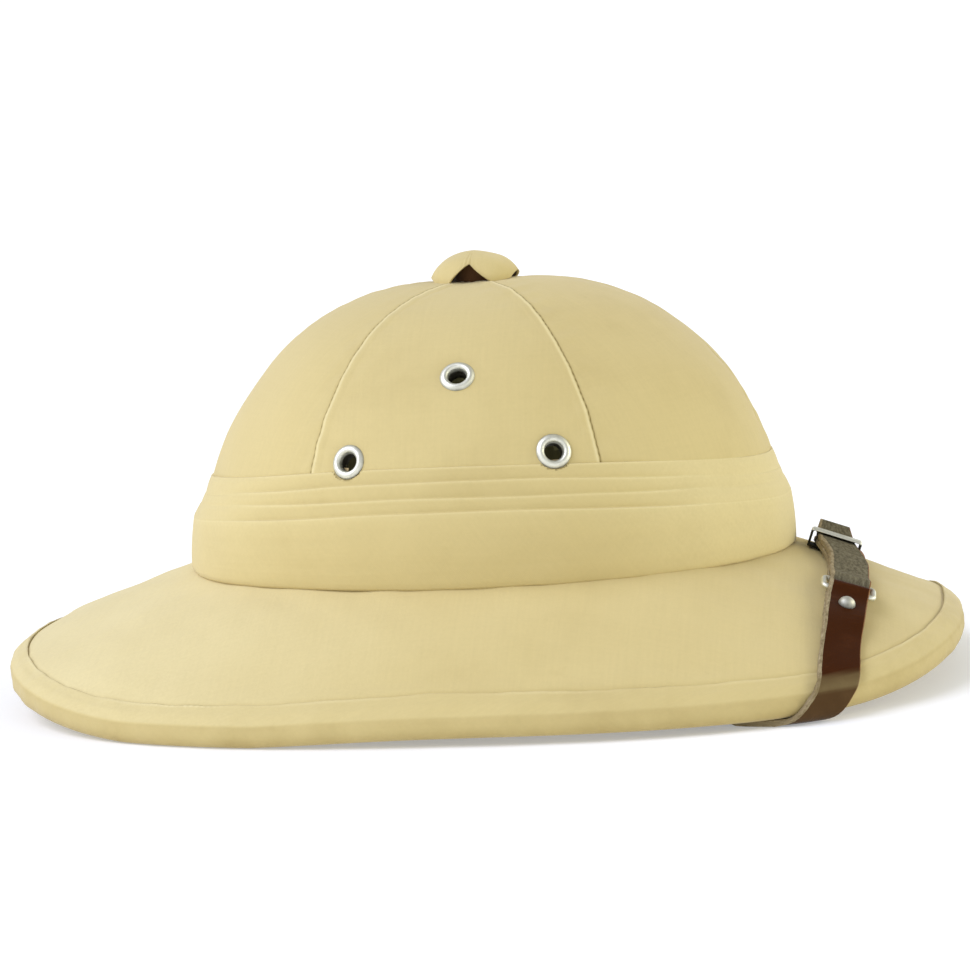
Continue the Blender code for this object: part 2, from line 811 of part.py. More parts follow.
def make_short_strap():
    """From the right post round the rim, up to the loop and back under itself to the rivet."""
    rim = round_rim(-1)
    edges = to_post(-1, rim[-1])[::-1] + rim[::-1] + onto_rim(-1)[-1:]
    for y, share, skew in reversed(RUN_STATIONS):
        edges.append(over_brim(y, LAYER_LIFT + share * LAYER_STEP, skew))
    edges += round_bar(LOOP_Y - LOOP_BAR, 1)[::-1]
    edges += [over_brim(y, LAYER_LIFT) for y in TAIL_STATIONS]
    strap = strap_solid("strap_short", edges)
    make_post(strap, -1, "right")
    frame = strap_frame(RIVET_Y, LAYER_LIFT + LAYER_STEP + LEATHER / 2)
    pin("strap_rivet", frame, RIVET_SECTION, RIVET_SIDES)
    hole = ((RIVET_HOLE, -HOLE_REACH), (RIVET_HOLE, HOLE_REACH))
    cut(strap, pin("cutter_rivet", frame, hole, RIVET_SIDES))


def make_post(strap, side, hand):
    """A headed post under the brim, and its hole in the strap."""
    frame = post_frame(side)
    pin(f"strap_post_{hand}", frame, POST_SECTION, POST_SIDES)
    hole = ((POST_HOLE, -HOLE_REACH), (POST_HOLE, -RIM_WALL))
    cut(strap, pin(f"cutter_post_{hand}", frame, hole, POST_SIDES))


def make_loop():
    """The wire loop, a rounded rectangle lying over the brim between the straps' folds."""
    turn, origin = strap_frame(LOOP_Y, LOOP_LIFT)
    rings = []
    for corner in range(4):
        middle = Vector((
            (LOOP_HALF_WIDTH - LOOP_CORNER) * (1, -1, -1, 1)[corner],
            (LOOP_BAR - LOOP_CORNER) * (1, 1, -1, -1)[corner],
            0,
        ))
        for step in (0, 45, 90):
            angle = radians(90 * corner + step)
            out = Vector((cos(angle), sin(angle), 0))
            ring = []
            for i in range(LOOP_WIRE_SIDES):
                round_wire = 2 * pi * i / LOOP_WIRE_SIDES
                point = middle + out * (LOOP_CORNER + LOOP_WIRE * cos(round_wire))
                point.z = LOOP_WIRE * sin(round_wire)
                ring.append(origin + turn @ point)
            rings.append(ring)
    ring_solid("strap_loop", rings, "nickel")


def make_slide():
    """The pressed metal slide, a sleeve with a bevelled roof round both layers."""
    turn, origin = strap_frame(0)
    rings = []
    corners = [(1, i) for i in range(3)] + [(-1, i) for i in reversed(range(3))]
    for side, corner in corners:
        ring = []
        for table, ends in ((SLIDE_OUTSIDE, (-1, 1)), (SLIDE_INSIDE, (1, -1))):
            width, height = table[corner]
            for end in ends:
                point = Vector((side * width, end * SLIDE_LENGTH / 2, height))
                ring.append(origin + turn @ point)
        rings.append(ring)
    ring_solid("slide_buckle", rings, "nickel")


# ---------------------------------------------------------------- building the hat


def clear_scene():
    """Removes whatever the scene starts with."""
    for obj in list(bpy.data.objects):
        bpy.data.objects.remove(obj)


def main():
    clear_scene()
    segments = make_body()
    panels = make_panels()
    make_brim_cover()
    make_edge_band()
    puggaree = make_puggaree()
    make_cap()
    make_eyelets(segments, panels, puggaree)
    make_long_strap()
    make_short_strap()
    make_loop()
    make_slide()


main()
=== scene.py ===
"""Studio picture of a cloth-covered pith helmet with its chin strap swung up over the brim.

The frame's pieces give the sizes and places. Each sub-assembly below is a dataclass whose size
fields are in metres, with a method that makes its meshes and one that dresses them in finishes.
+X is the front of the hat, +Y the wearer's left, +Z up, and angles round the hat are measured in
plan from the front towards the left.
"""

import logging
from collections.abc import Callable
from dataclasses import dataclass, field
from enum import Enum
from math import cos, hypot, pi, radians, sin

import bpy
import numpy as np
from mathutils import Matrix, Vector


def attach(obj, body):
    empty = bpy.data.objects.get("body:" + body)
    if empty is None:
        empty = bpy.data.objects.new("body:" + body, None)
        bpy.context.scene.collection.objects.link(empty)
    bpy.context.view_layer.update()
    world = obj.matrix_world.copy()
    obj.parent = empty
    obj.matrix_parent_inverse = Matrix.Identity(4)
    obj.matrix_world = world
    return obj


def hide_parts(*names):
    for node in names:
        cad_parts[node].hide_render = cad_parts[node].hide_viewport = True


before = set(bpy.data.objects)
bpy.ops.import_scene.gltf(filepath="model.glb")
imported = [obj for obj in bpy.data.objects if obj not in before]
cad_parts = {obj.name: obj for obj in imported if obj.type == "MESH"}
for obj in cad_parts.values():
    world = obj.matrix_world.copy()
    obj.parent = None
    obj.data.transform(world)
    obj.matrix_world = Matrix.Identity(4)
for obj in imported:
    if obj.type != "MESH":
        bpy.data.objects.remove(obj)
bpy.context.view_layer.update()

log = logging.getLogger("pith_helmet")

Array = np.ndarray
Colour = tuple[float, float, float]
Number = float | Array
Pair = tuple[float, float]
Pairs = tuple[Pair, ...]
Value = "Sock | float"
Rows = tuple[Array, Array]
Material = bpy.types.Material
Object = bpy.types.Object

FULL_TURN = 2 * pi
QUARTER_TURN = pi / 2
UP = np.array([0.0, 0.0, 1.0])
AHEAD = np.array([1.0, 0.0, 0.0])


# ---- small maths


def blend(low: Array, high: Array, share: Array) -> Array:
    """Returns the values between low and high at a share from 0 to 1."""
    return low + (high - low) * share


def ramp(value: Array, start: float, end: float) -> Array:
    """Returns a share that goes smoothly from 0 at start to 1 at end, up or down the values."""
    share = np.clip((np.asarray(value, float) - start) / (end - start), 0, 1)
    return share * share * (3 - 2 * share)


def hump(value: Array, middle: float, width: float) -> Array:
    """Returns a smooth hump of height 1 at middle that fades over width on both sides."""
    return np.exp(-(((value - middle) / width) ** 2))


def unit(vectors: Array) -> Array:
    """Returns the vectors at length 1."""
    return vectors / np.maximum(np.linalg.norm(vectors, axis=-1, keepdims=True), 1e-12)


def around_hat(count: int) -> Array:
    """Returns evenly spaced angles round the hat."""
    return np.linspace(0, FULL_TURN, count, endpoint=False)


def closed(grid: Array) -> Array:
    """Returns a grid with its first column again at its end."""
    return np.concatenate([grid, grid[:, :1]], axis=1)


def run_length(points: Array, axis: int = 0) -> Array:
    """Measures along lines of points.

    Args:
        points: One line, or a grid of them.
        axis: The axis along the line.

    Returns:
        The distance run at each point, from 0 at the first.
    """
    steps = np.linalg.norm(np.diff(points, axis=axis), axis=-1)
    start = np.zeros_like(np.take(steps, [0], axis=axis))
    return np.concatenate([start, np.cumsum(steps, axis=axis)], axis=axis)


def rounded(points: Array, rounds: int, axis: int = 0) -> Array:
    """Rounds the corners of an open line of points, and keeps its two ends.

    Args:
        points: The line, or a grid of lines.
        rounds: How often each corner is cut; each round doubles the points.
        axis: The axis along the line.

    Returns:
        The rounded line.
    """
    line = np.moveaxis(np.asarray(points, float), axis, 0)
    for _ in range(rounds):
        low, high = line[:-1], line[1:]
        pairs = np.stack([0.75 * low + 0.25 * high, 0.25 * low + 0.75 * high], axis=1)
        cut = pairs.reshape((-1,) + line.shape[1:])
        line = np.concatenate([line[:1], cut[1:-1], line[-1:]])
    return np.moveaxis(line, 0, axis)


def crisp(points: Array, size: float) -> Array:
    """Adds points beside the corners of an open line, so that rounding stays small.

    Args:
        points: The line.
        size: How far from its corners the points lie, at most.

    Returns:
        The line with its new points.
    """
    line = [points[0]]
    for low, high in zip(points[:-1], points[1:]):
        way = high - low
        reach = min(size / max(float(np.linalg.norm(way)), 1e-9), 0.4)
        line += [low + way * reach, high - way * reach, high]
    return np.array(line)


def search(low: Array, high: Array, is_low: Callable[[Array], Array]) -> Array:
    """Finds where a test turns over, by halving.

    Args:
        low: Values at which the test holds.
        high: Values at which it doesn't.
        is_low: The test.

    Returns:
        The last values at which it holds.
    """
    for _ in range(32):
        middle = (low + high) / 2
        holds = is_low(middle)
        low, high = np.where(holds, middle, low), np.where(holds, high, middle)
    return low


@dataclass(frozen=True)
class Wander:
    """A smooth, repeatable unevenness over space.

    Attributes:
        size: Distance over which it changes, in metres.
        depth: How far it goes up and down, in metres.
        seed: Picks one of many.
        waves: How many sine waves it is made of.
    """

    size: float
    depth: float
    seed: int
    waves: int = 14

    def at(self, points: Array) -> Array:
        """Measures the unevenness.

        Args:
            points: Points in space.

        Returns:
            Its height at each of them.
        """
        chance = np.random.default_rng(self.seed)
        total = np.zeros(points.shape[:-1])
        for _ in range(self.waves):
            way = unit(chance.normal(size=3)) * chance.uniform(0.5, 1.6) * FULL_TURN / self.size
            total += np.sin(points @ way + chance.uniform(0, FULL_TURN))
        return total * self.depth / np.sqrt(self.waves / 2)


@dataclass(frozen=True)
class Slope:
    """A measure that rises smoothly from 0 where a value is start to its height at end."""

    height: float
    start: float
    end: float

    def at(self, value: Array) -> Array:
        """Returns the measure at each value."""
        return self.height * ramp(value, self.start, self.end)


@dataclass(frozen=True)
class Peak:
    """A measure that has its height where a value is middle and fades over width on both sides."""

    height: float
    middle: float
    width: float

    def at(self, value: Array) -> Array:
        """Returns the measure at each value."""
        return self.height * hump(value, self.middle, self.width)


# ---- meshes


@dataclass
class Patch:
    """A grid of points with its cloth coordinates.

    Attributes:
        points: Rows by columns by 3, in metres.
        uv: Coordinates in metres over the surface; one more row or column where it closes.
        loop_rows, loop_columns: The last row or column joins the first.
        grime: Share of dirt and of painted shade at each point, below 0 where it is paler from
            fading and from painted light, or None.
        edge: Second coordinates, such as the distance from a seam and along it, or None.
        slots: Material slot of each row of faces, or None.
        keep: Which faces stay, or None for all.
        flip: Turns the faces over.
    """

    points: Array
    uv: Array
    loop_rows: bool = False
    loop_columns: bool = False
    grime: Array | None = None
    edge: Array | None = None
    slots: Array | None = None
    keep: Array | None = None
    flip: bool = False

    def faces(self) -> tuple[Array, Array, Array]:
        """Lists the faces.

        Returns:
            Each face's corner numbers, and row and column numbers of the corners' coordinates.
        """
        rows, columns = self.points.shape[:2]
        i = np.arange(rows if self.loop_rows else rows - 1)
        j = np.arange(columns if self.loop_columns else columns - 1)
        i, j = np.meshgrid(i, j, indexing="ij")
        ci = np.stack([i, i, i + 1, i + 1], axis=-1).reshape(-1, 4)
        cj = np.stack([j, j + 1, j + 1, j], axis=-1).reshape(-1, 4)
        if self.flip:
            ci, cj = ci[:, ::-1], cj[:, ::-1]
        if self.keep is not None:
            ci, cj = ci[self.keep.reshape(-1)], cj[self.keep.reshape(-1)]
        return ci % rows * columns + cj % columns, ci, cj


def plain_uv(rows: int, columns: int, wide: float, tall: float) -> Array:
    """Returns even coordinates, tall metres over the rows and wide metres over the columns."""
    grid = np.meshgrid(np.linspace(0, wide, columns), np.linspace(0, tall, rows))
    return np.stack(grid, axis=-1)


def mesh_object(name: str, patches: list[Patch]) -> Object:
    """Makes one object of several patches.

    Args:
        name: The object's name.
        patches: Its surfaces.

    Returns:
        The new object, shaded smooth.
    """
    points, faces, uvs, edges, soils_and_painted_light, slots = [], [], [], [], [], []
    start = 0
    for patch in patches:
        corners, ci, cj = patch.faces()
        rows, columns = patch.points.shape[:2]
        faces.append(corners + start)
        points.append(patch.points.reshape(-1, 3))
        uvs.append(patch.uv[ci, cj].reshape(-1, 2))
        edge = patch.uv * 0 + 1 if patch.edge is None else patch.edge
        edges.append(edge[ci, cj].reshape(-1, 2))
        grime = np.zeros((rows, columns)) if patch.grime is None else patch.grime
        soils_and_painted_light.append(grime.reshape(-1))
        if patch.slots is None:
            slots.append(np.zeros(len(corners), int))
        else:
            slots.append(patch.slots[np.minimum(ci.min(axis=1), len(patch.slots) - 1)])
        start += rows * columns
    # Only the points that a face uses stay.
    used, corners = np.unique(np.concatenate(faces), return_inverse=True)
    mesh = bpy.data.meshes.new(name)
    mesh.from_pydata(np.concatenate(points)[used].tolist(), [], corners.reshape(-1, 4).tolist())
    for layer, values in (("Weave", uvs), ("Edge", edges)):
        mesh.uv_layers.new(name=layer).data.foreach_set(
            "uv", np.concatenate(values).astype(np.float32).reshape(-1)
        )
    grime = mesh.attributes.new("grime", "FLOAT", "POINT")
    grime.data.foreach_set("value", np.concatenate(soils_and_painted_light)[used].astype(np.float32))
    mesh.polygons.foreach_set("material_index", np.concatenate(slots))
    mesh.shade_smooth()
    mesh.update()
    obj = bpy.data.objects.new(name, mesh)
    bpy.context.scene.collection.objects.link(obj)
    return obj


def place(obj: Object, finishes: list[Material], slot: str, *nodes: str) -> None:
    """Dresses a finished piece and puts it in the frame.

    Args:
        obj: The piece, already where it belongs.
        finishes: The materials of its slots.
        slot: Its material slot in the record; not used.
        nodes: The frame's pieces it stands for.
    """
    for finish in finishes:
        obj.data.materials.append(finish)
    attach(obj, "root")
    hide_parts(*nodes)
    triangles = sum(len(p.vertices) - 2 for p in obj.data.polygons)
    log.info("%s: %d triangles for %s", obj.name, triangles, ", ".join(nodes))


# ---- shader graphs


class Sock:
    """A value in a shader graph that can be reckoned with like a number."""

    def __init__(self, graph: "Graph", socket: bpy.types.NodeSocket) -> None:
        """Wraps one socket of a graph."""
        self.graph = graph
        self.socket = socket

    def maths(self, operation: str, *others: Value, swap: bool = False) -> "Sock":
        """Adds a Math node.

        Args:
            operation: Its operation.
            others: Its other inputs.
            swap: Puts this value last instead of first.

        Returns:
            Its result.
        """
        inputs = [self, *others]
        if swap:
            inputs.reverse()
        return self.graph.node("Math", {"operation": operation}, dict(enumerate(inputs)))

    def __add__(self, other: Value) -> "Sock":
        """Returns self + other."""
        return self.maths("ADD", other)

    def __radd__(self, other: float) -> "Sock":
        """Returns other + self."""
        return self.maths("ADD", other)

    def __sub__(self, other: Value) -> "Sock":
        """Returns self - other."""
        return self.maths("SUBTRACT", other)

    def __rsub__(self, other: float) -> "Sock":
        """Returns other - self."""
        return self.maths("SUBTRACT", other, swap=True)

    def __mul__(self, other: Value) -> "Sock":
        """Returns self * other."""
        return self.maths("MULTIPLY", other)

    def __rmul__(self, other: float) -> "Sock":
        """Returns other * self."""
        return self.maths("MULTIPLY", other)

    def __neg__(self) -> "Sock":
        """Returns -self."""
        return self.maths("MULTIPLY", -1.0)

    def sine(self) -> "Sock":
        """Returns its sine."""
        return self.maths("SINE")

    def at_most(self, other: Value) -> "Sock":
        """Returns the lesser of the two."""
        return self.maths("MINIMUM", other)

    def at_least(self, other: Value) -> "Sock":
        """Returns the greater of the two."""
        return self.maths("MAXIMUM", other)

    def ramp(self, start: float, end: float, low: float = 0.0, high: float = 1.0) -> "Sock":
        """Returns a smooth change from low at start to high at end."""
        inputs = dict(enumerate((self, start, end, low, high)))
        return self.graph.node("MapRange", {"interpolation_type": "SMOOTHSTEP"}, inputs)


class Graph:
    """The shader graph of one material, or of the surrounding light."""

    def __init__(self, name: str, world: bool = False) -> None:
        """Makes the material or world.

        Args:
            name: Its name.
            world: Makes a world instead of a material.
        """
        kinds, shader = bpy.data.materials, "Principled BSDF"
        if world:
            kinds, shader = bpy.data.worlds, "Background"
        self.owner = kinds.new(name)
        self.owner.use_nodes = True
        self.tree = self.owner.node_tree
        self.shader = self.tree.nodes[shader]

    def node(
        self,
        kind: str,
        settings: dict | None = None,
        inputs: dict | None = None,
        out: int | str = 0,
    ) -> Sock:
        """Adds a node.

        Args:
            kind: The shader node's type.
            settings: Its properties by name.
            inputs: Its inputs by name or number: values, or other nodes' results.
            out: Which of its outputs to return.

        Returns:
            The output.
        """
        made = self.tree.nodes.new("ShaderNode" + kind)
        for name, value in (settings or {}).items():
            setattr(made, name, value)
        for name, value in (inputs or {}).items():
            self.feed(made.inputs[name], value)
        return Sock(self, made.outputs[out])

    def feed(self, target: bpy.types.NodeSocket, value: "Sock | float | tuple") -> None:
        """Links or sets one input of a node.

        Args:
            target: The input.
            value: Another node's result, a number, a vector or a colour.
        """
        if isinstance(value, Sock):
            self.tree.links.new(value.socket, target)
        elif isinstance(value, tuple) and len(target.default_value) == 4 and len(value) == 3:
            target.default_value = (*value, 1.0)
        else:
            target.default_value = value

    def mix(
        self,
        low: "Sock | Colour",
        high: "Sock | Colour",
        share: Value,
        kind: str = "MIX",
    ) -> Sock:
        """Returns a colour between two others, or low tinted by high if kind is MULTIPLY."""
        settings = {"data_type": "RGBA", "blend_type": kind, "clamp_factor": True}
        return self.node("Mix", settings, {0: share, 6: low, 7: high}, 2)

    def stretch(self, vector: Sock, x: float = 1.0, y: float = 1.0, z: float = 1.0) -> Sock:
        """Returns coordinates times a factor on each axis; a low one draws noise out along it."""
        inputs = {0: vector, 1: (x, y, z)}
        return self.node("VectorMath", {"operation": "MULTIPLY"}, inputs)

    def place(self) -> Sock:
        """Returns the place on the piece, in metres."""
        return self.node("TexCoord", out="Object")

    def layer(self, name: str) -> Sock:
        """Returns the coordinates of a UV layer."""
        return self.node("UVMap", {"uv_map": name})

    def parts(self, vector: Sock) -> tuple[Sock, ...]:
        """Returns the three numbers of a vector."""
        kind = "SeparateXYZ"
        return tuple(self.node(kind, None, {0: vector}, out) for out in range(3))

    def grime(self) -> Sock:
        """Returns the share of dirt, painted shade and painted light that the mesh carries."""
        settings = {"attribute_type": "GEOMETRY", "attribute_name": "grime"}
        return self.node("Attribute", settings, out="Fac")

    def noise(self, where: Sock, size: float, detail: float = 3.0, rough: float = 0.55) -> Sock:
        """Returns noise about 0.5 whose features are about size metres across."""
        inputs = {"Vector": where, "Scale": 1 / size, "Detail": detail, "Roughness": rough}
        return self.node("TexNoise", {"noise_dimensions": "3D"}, inputs, "Fac")

    def bump(self, height: Sock, depth: float, strength: float) -> Sock:
        """Returns the normal of a surface raised by height times depth metres."""
        inputs = {"Strength": strength, "Distance": depth, "Height": height}
        return self.node("Bump", None, inputs, "Normal")

    def close(self, **sockets: "Sock | float | tuple") -> "Material | bpy.types.World":
        """Sets the shader's inputs.

        Args:
            sockets: Their values by name, with underscores for blanks.

        Returns:
            The graph's material or world.
        """
        for name, value in sockets.items():
            self.feed(self.shader.inputs[name.replace("_", " ")], value)
        return self.owner


# ---- finishes


class Lay(Enum):
    """How the cloth's threads lie against its coordinates."""

    STRAIGHT = 0.0
    BIAS = pi / 4


@dataclass(frozen=True)
class Cloth:
    """Cotton cloth, plain-woven, aged by light and handling.

    Attributes:
        name, colour: The material's name, and its clean colour, linear.
        soiled, faded, crack: Its colour where it is dirty and where shade is painted, where it is
            rubbed pale and where light is painted, and in a seam's line of stitching and painted
            shadow.
        lay: How the threads lie.
        slub, wear, crease: Strengths of uneven threads, stains and long flat creases.
        thread, drift: Distance between threads, and over which they wander, in metres.
        slub_size, crease_size: Sizes of the uneven threads and of the creases.
        clouds, blots, specks: Sizes of the stains, from the widest to the finest.
        stitch: Distance between stitches along a seam.
        seam: Distances from a seam at which its dark line ends, and is at its darkest.
        relief: Depth of threads and slubs.
    """

    name: str
    colour: Colour = (0.630, 0.518, 0.232)
    soiled_and_shaded: Colour = (0.400, 0.300, 0.105)
    faded_and_lit: Colour = (0.760, 0.657, 0.345)
    seam_thread_and_shade: Colour = (0.240, 0.175, 0.048)
    lay: Lay = Lay.STRAIGHT
    slub: float = 1.0
    wear: float = 1.0
    crease: float = 0.0
    thread: float = 0.00046
    drift: float = 0.006
    slub_size: Pair = (0.0013, 0.0014)
    clouds: float = 0.055
    blots: float = 0.018
    specks: float = 0.0012
    crease_size: float = 0.0042
    stitch: float = 0.0027
    seam: Pair = (0.00050, 0.00016)
    relief: float = 0.00014

    def threads(self, g: Graph) -> tuple[Sock, Sock]:
        """Lays the threads of the weave.

        Args:
            g: The material's graph.

        Returns:
            The height of the threads, and the thick and thin places along them.
        """
        inputs = {"Vector": g.layer("Weave"), "Angle": self.lay.value}
        weave = g.node("VectorRotate", {"rotation_type": "Z_AXIS"}, inputs)
        u, v, _ = g.parts(weave)
        # The threads wander a little, so that the weave isn't a ruled grid.
        drift = g.noise(weave, self.drift) - 0.5
        warp = ((u + drift * 0.0012) * (FULL_TURN / self.thread)).sine()
        weft = ((v - drift * 0.0014) * (FULL_TURN / self.thread)).sine()
        tall, wide = g.stretch(weave, y=0.05), g.stretch(weave, x=0.05)
        slubs = (g.noise(tall, self.slub_size[0], rough=0.6) - 0.5) * 1.1
        slubs = slubs + (g.noise(wide, self.slub_size[1], rough=0.6) - 0.5) * 0.7
        return (warp + weft) * 0.3 + warp * weft * 0.4, slubs

    def material(self) -> Material:
        """Makes the cloth.

        Returns:
            The material.
        """
        g = Graph(self.name)
        place = g.place()
        threads, slubs = self.threads(g)
        cloud = g.noise(place, self.clouds, 4.0, 0.6)
        blot = g.noise(place, self.blots, 5.0, 0.65)
        speck = g.noise(place, self.specks, 3.0, 0.7)
        long_way = g.stretch(g.layer("Weave"), x=0.07)
        creases = (g.noise(long_way, self.crease_size, 2.0, 0.5) - 0.5) * self.crease
        grime = g.grime()
        # Stains, the mesh's dirt, and its painted shade.
        stain_and_painted_light = (
            (cloud - 0.50).ramp(0.0, 0.30) * 0.20 * self.wear
            + (blot - 0.60).ramp(0.0, 0.22) * 0.16 * self.wear
            + grime.at_least(0.0) * (0.7 + 1.2 * (blot - 0.4))
        )
        # The threads' and the creases' terms are painted shade of the cloth's relief; slubs and
        # specks are its uneven tone.
        shade = 1.0 + slubs * 0.060 * self.slub + threads * 0.010 + (speck - 0.5) * 0.07
        shade = shade + creases * 0.05
        colour = g.mix(self.colour, self.soiled_and_shaded, stain_and_painted_light)
        # Paler where the mesh marks fading and painted light: lit fold edges, welts and the rear.
        colour = g.mix(colour, self.faded_and_lit, (-grime) * (0.75 + 0.5 * speck))
        grey = g.node("CombineColor", None, {0: shade, 1: shade, 2: shade})
        colour = g.mix(colour, grey, 1.0, "MULTIPLY")
        # The second coordinates count from the nearest seam, and along it.
        aside, along, _ = g.parts(g.layer("Edge"))
        # The seam's dark line beats with the stitches: partly the stitching, partly painted shadow
        # in the seam's gap.
        beat = (along * (FULL_TURN / self.stitch) + (blot - 0.5) * 9.0).sine()
        seam_thread_and_shade = aside.ramp(*self.seam) * (0.66 + 0.26 * beat)
        height = threads * 0.25 + slubs * 0.7 * self.slub + (speck - 0.5) * 0.7 - seam_thread_and_shade * 0.6
        height = height + creases * 5.0
        return g.close(
            Base_Color=g.mix(colour, self.seam_thread_and_shade, seam_thread_and_shade),
            Roughness=0.86 + (blot - 0.5) * 0.16,
            Normal=g.bump(height, self.relief, 0.45),
            Sheen_Weight=0.20,
            Sheen_Roughness=0.5,
            Specular_IOR_Level=0.22,
        )


@dataclass(frozen=True)
class Moulded:
    """Pressed fibre board, seen inside the hat and under its brim.

    Attributes:
        name: The material's name.
        colour, dark: Colours of the board and of its darker fibres, linear.
        clouds, fibres, pits: Sizes of its stains, fibres and pits, in metres.
        relief: Depth of fibres and pits.
    """

    name: str = "moulded_board"
    colour: Colour = (0.56, 0.44, 0.235)
    dark: Colour = (0.34, 0.245, 0.115)
    clouds: float = 0.040
    fibres: float = 0.0014
    pits: float = 0.0045
    relief: float = 0.0004

    def material(self) -> Material:
        """Makes the board.

        Returns:
            The material.
        """
        g = Graph(self.name)
        place = g.place()
        cloud = g.noise(place, self.clouds, 4.0, 0.6)
        fibre = g.noise(g.stretch(place, z=0.25), self.fibres, 4.0, 0.7)
        pit = g.noise(place, self.pits, 3.0, 0.6)
        share = cloud.ramp(0.35, 0.75) * 0.45 + (fibre - 0.42).ramp(0.0, 0.3) * 0.35
        return g.close(
            Base_Color=g.mix(self.colour, self.dark, share + g.grime() * 0.5),
            Roughness=0.84 + (fibre - 0.5) * 0.2,
            Normal=g.bump(fibre * 0.5 + pit * 0.5, self.relief, 0.6),
            Specular_IOR_Level=0.25,
        )


class Side(Enum):
    """Which side of the leather shows."""

    GRAIN = "grain"
    FLESH = "flesh"
    CUT = "cut"
    EDGE = "edge"


@dataclass(frozen=True)
class Leather:
    """Strap leather: polished grain, rough flesh side, or cut edge.

    Attributes:
        side: Which side shows.
        colour: Its colour, linear.
        worn, scuffed: Its colour where it is rubbed, and a greyish painted reflection where the
            strap bends over the rim.
        roughness: Roughness of the surface.
        relief: Depth of its grain, in metres.
        specular, gloss: Strength and colour of its gloss.
        pores, nap, creases, clouds: Sizes of pores, nap, creases and worn places, in metres.
    """

    side: Side
    colour: Colour
    worn: Colour
    roughness: float
    relief: float
    specular: float
    gloss: Colour = (1.0, 0.80, 0.50)
    painted_reflection: Colour = (0.200, 0.150, 0.068)
    pores: float = 0.0008
    nap: float = 0.0013
    creases: float = 0.0022
    clouds: float = 0.010

    def material(self) -> Material:
        """Makes the leather.

        Returns:
            The material.
        """
        g = Graph("leather_" + self.side.value)
        weave = g.layer("Weave")
        nap = g.noise(g.stretch(weave, y=0.5), self.nap, 5.0, 0.75)
        crease = g.noise(g.stretch(weave, x=0.18), self.creases, rough=0.6)
        cloud = g.noise(g.place(), self.clouds, 4.0, 0.6)
        share = cloud.ramp(0.50, 0.75) * 0.4 + (crease - 0.60).ramp(0.0, 0.12) * 0.35
        if self.side is Side.GRAIN:
            pores = g.node(
                "TexVoronoi",
                {"feature": "DISTANCE_TO_EDGE"},
                {"Vector": weave, "Scale": 1 / self.pores},
                "Distance",
            )
            height = pores.ramp(0.0, 0.22) * 0.5 + (crease - 0.55).ramp(0.0, 0.1) * -0.8
            rough = self.roughness + (cloud - 0.5) * 0.25 + (nap - 0.5) * 0.12
        else:
            height = nap + crease * 0.5
            rough = self.roughness + (nap - 0.5) * 0.2
            share = nap.ramp(0.28, 0.78) * 0.85 + share * 0.4
        colour = g.mix(self.colour, self.worn, share)
        return g.close(
            # Painted reflection, greyish, where the mesh marks it.
            Base_Color=g.mix(colour, self.painted_reflection, g.grime() * (0.7 + 0.6 * cloud)),
            Roughness=rough.at_least(0.12).at_most(1.0),
            Normal=g.bump(height, self.relief, 0.7),
            Specular_IOR_Level=self.specular,
            Specular_Tint=self.gloss,
        )


@dataclass(frozen=True)
class Nickel:
    """Nickel plate, dulled and finely scratched.

    Attributes:
        name: The material's name.
        colour, tarnish: Its colour, linear, and the dark one where it has dulled and where shade
            is painted.
        roughness: Roughness of the bright metal.
        clouds, scratches: Sizes of the dulled places and the scratches, in metres.
        relief: Depth of both.
    """

    name: str = "nickel"
    colour: Colour = (0.79, 0.79, 0.68)
    tarnish_and_shade: Colour = (0.050, 0.046, 0.030)
    roughness: float = 0.48
    clouds: float = 0.004
    scratches: float = 0.0003
    relief: float = 0.00004

    def material(self) -> Material:
        """Makes the metal.

        Returns:
            The material.
        """
        g = Graph(self.name)
        place = g.place()
        cloud = g.noise(place, self.clouds, 4.0, 0.65)
        scratch = g.noise(g.stretch(place, y=0.06), self.scratches, 2.0, 0.7)
        # Dulled where the plate clouds over, and darkened where the mesh paints shade.
        dull_and_shade = (cloud.ramp(0.45, 0.75) * 0.22 + g.grime()).at_most(1.0)
        return g.close(
            Base_Color=g.mix(self.colour, self.tarnish_and_shade, dull_and_shade),
            Metallic=1.0,
            Roughness=self.roughness + dull_and_shade * 0.25 + (scratch - 0.5) * 0.18,
            Normal=g.bump(scratch + cloud, self.relief, 0.5),
        )


# ---- the hat's form


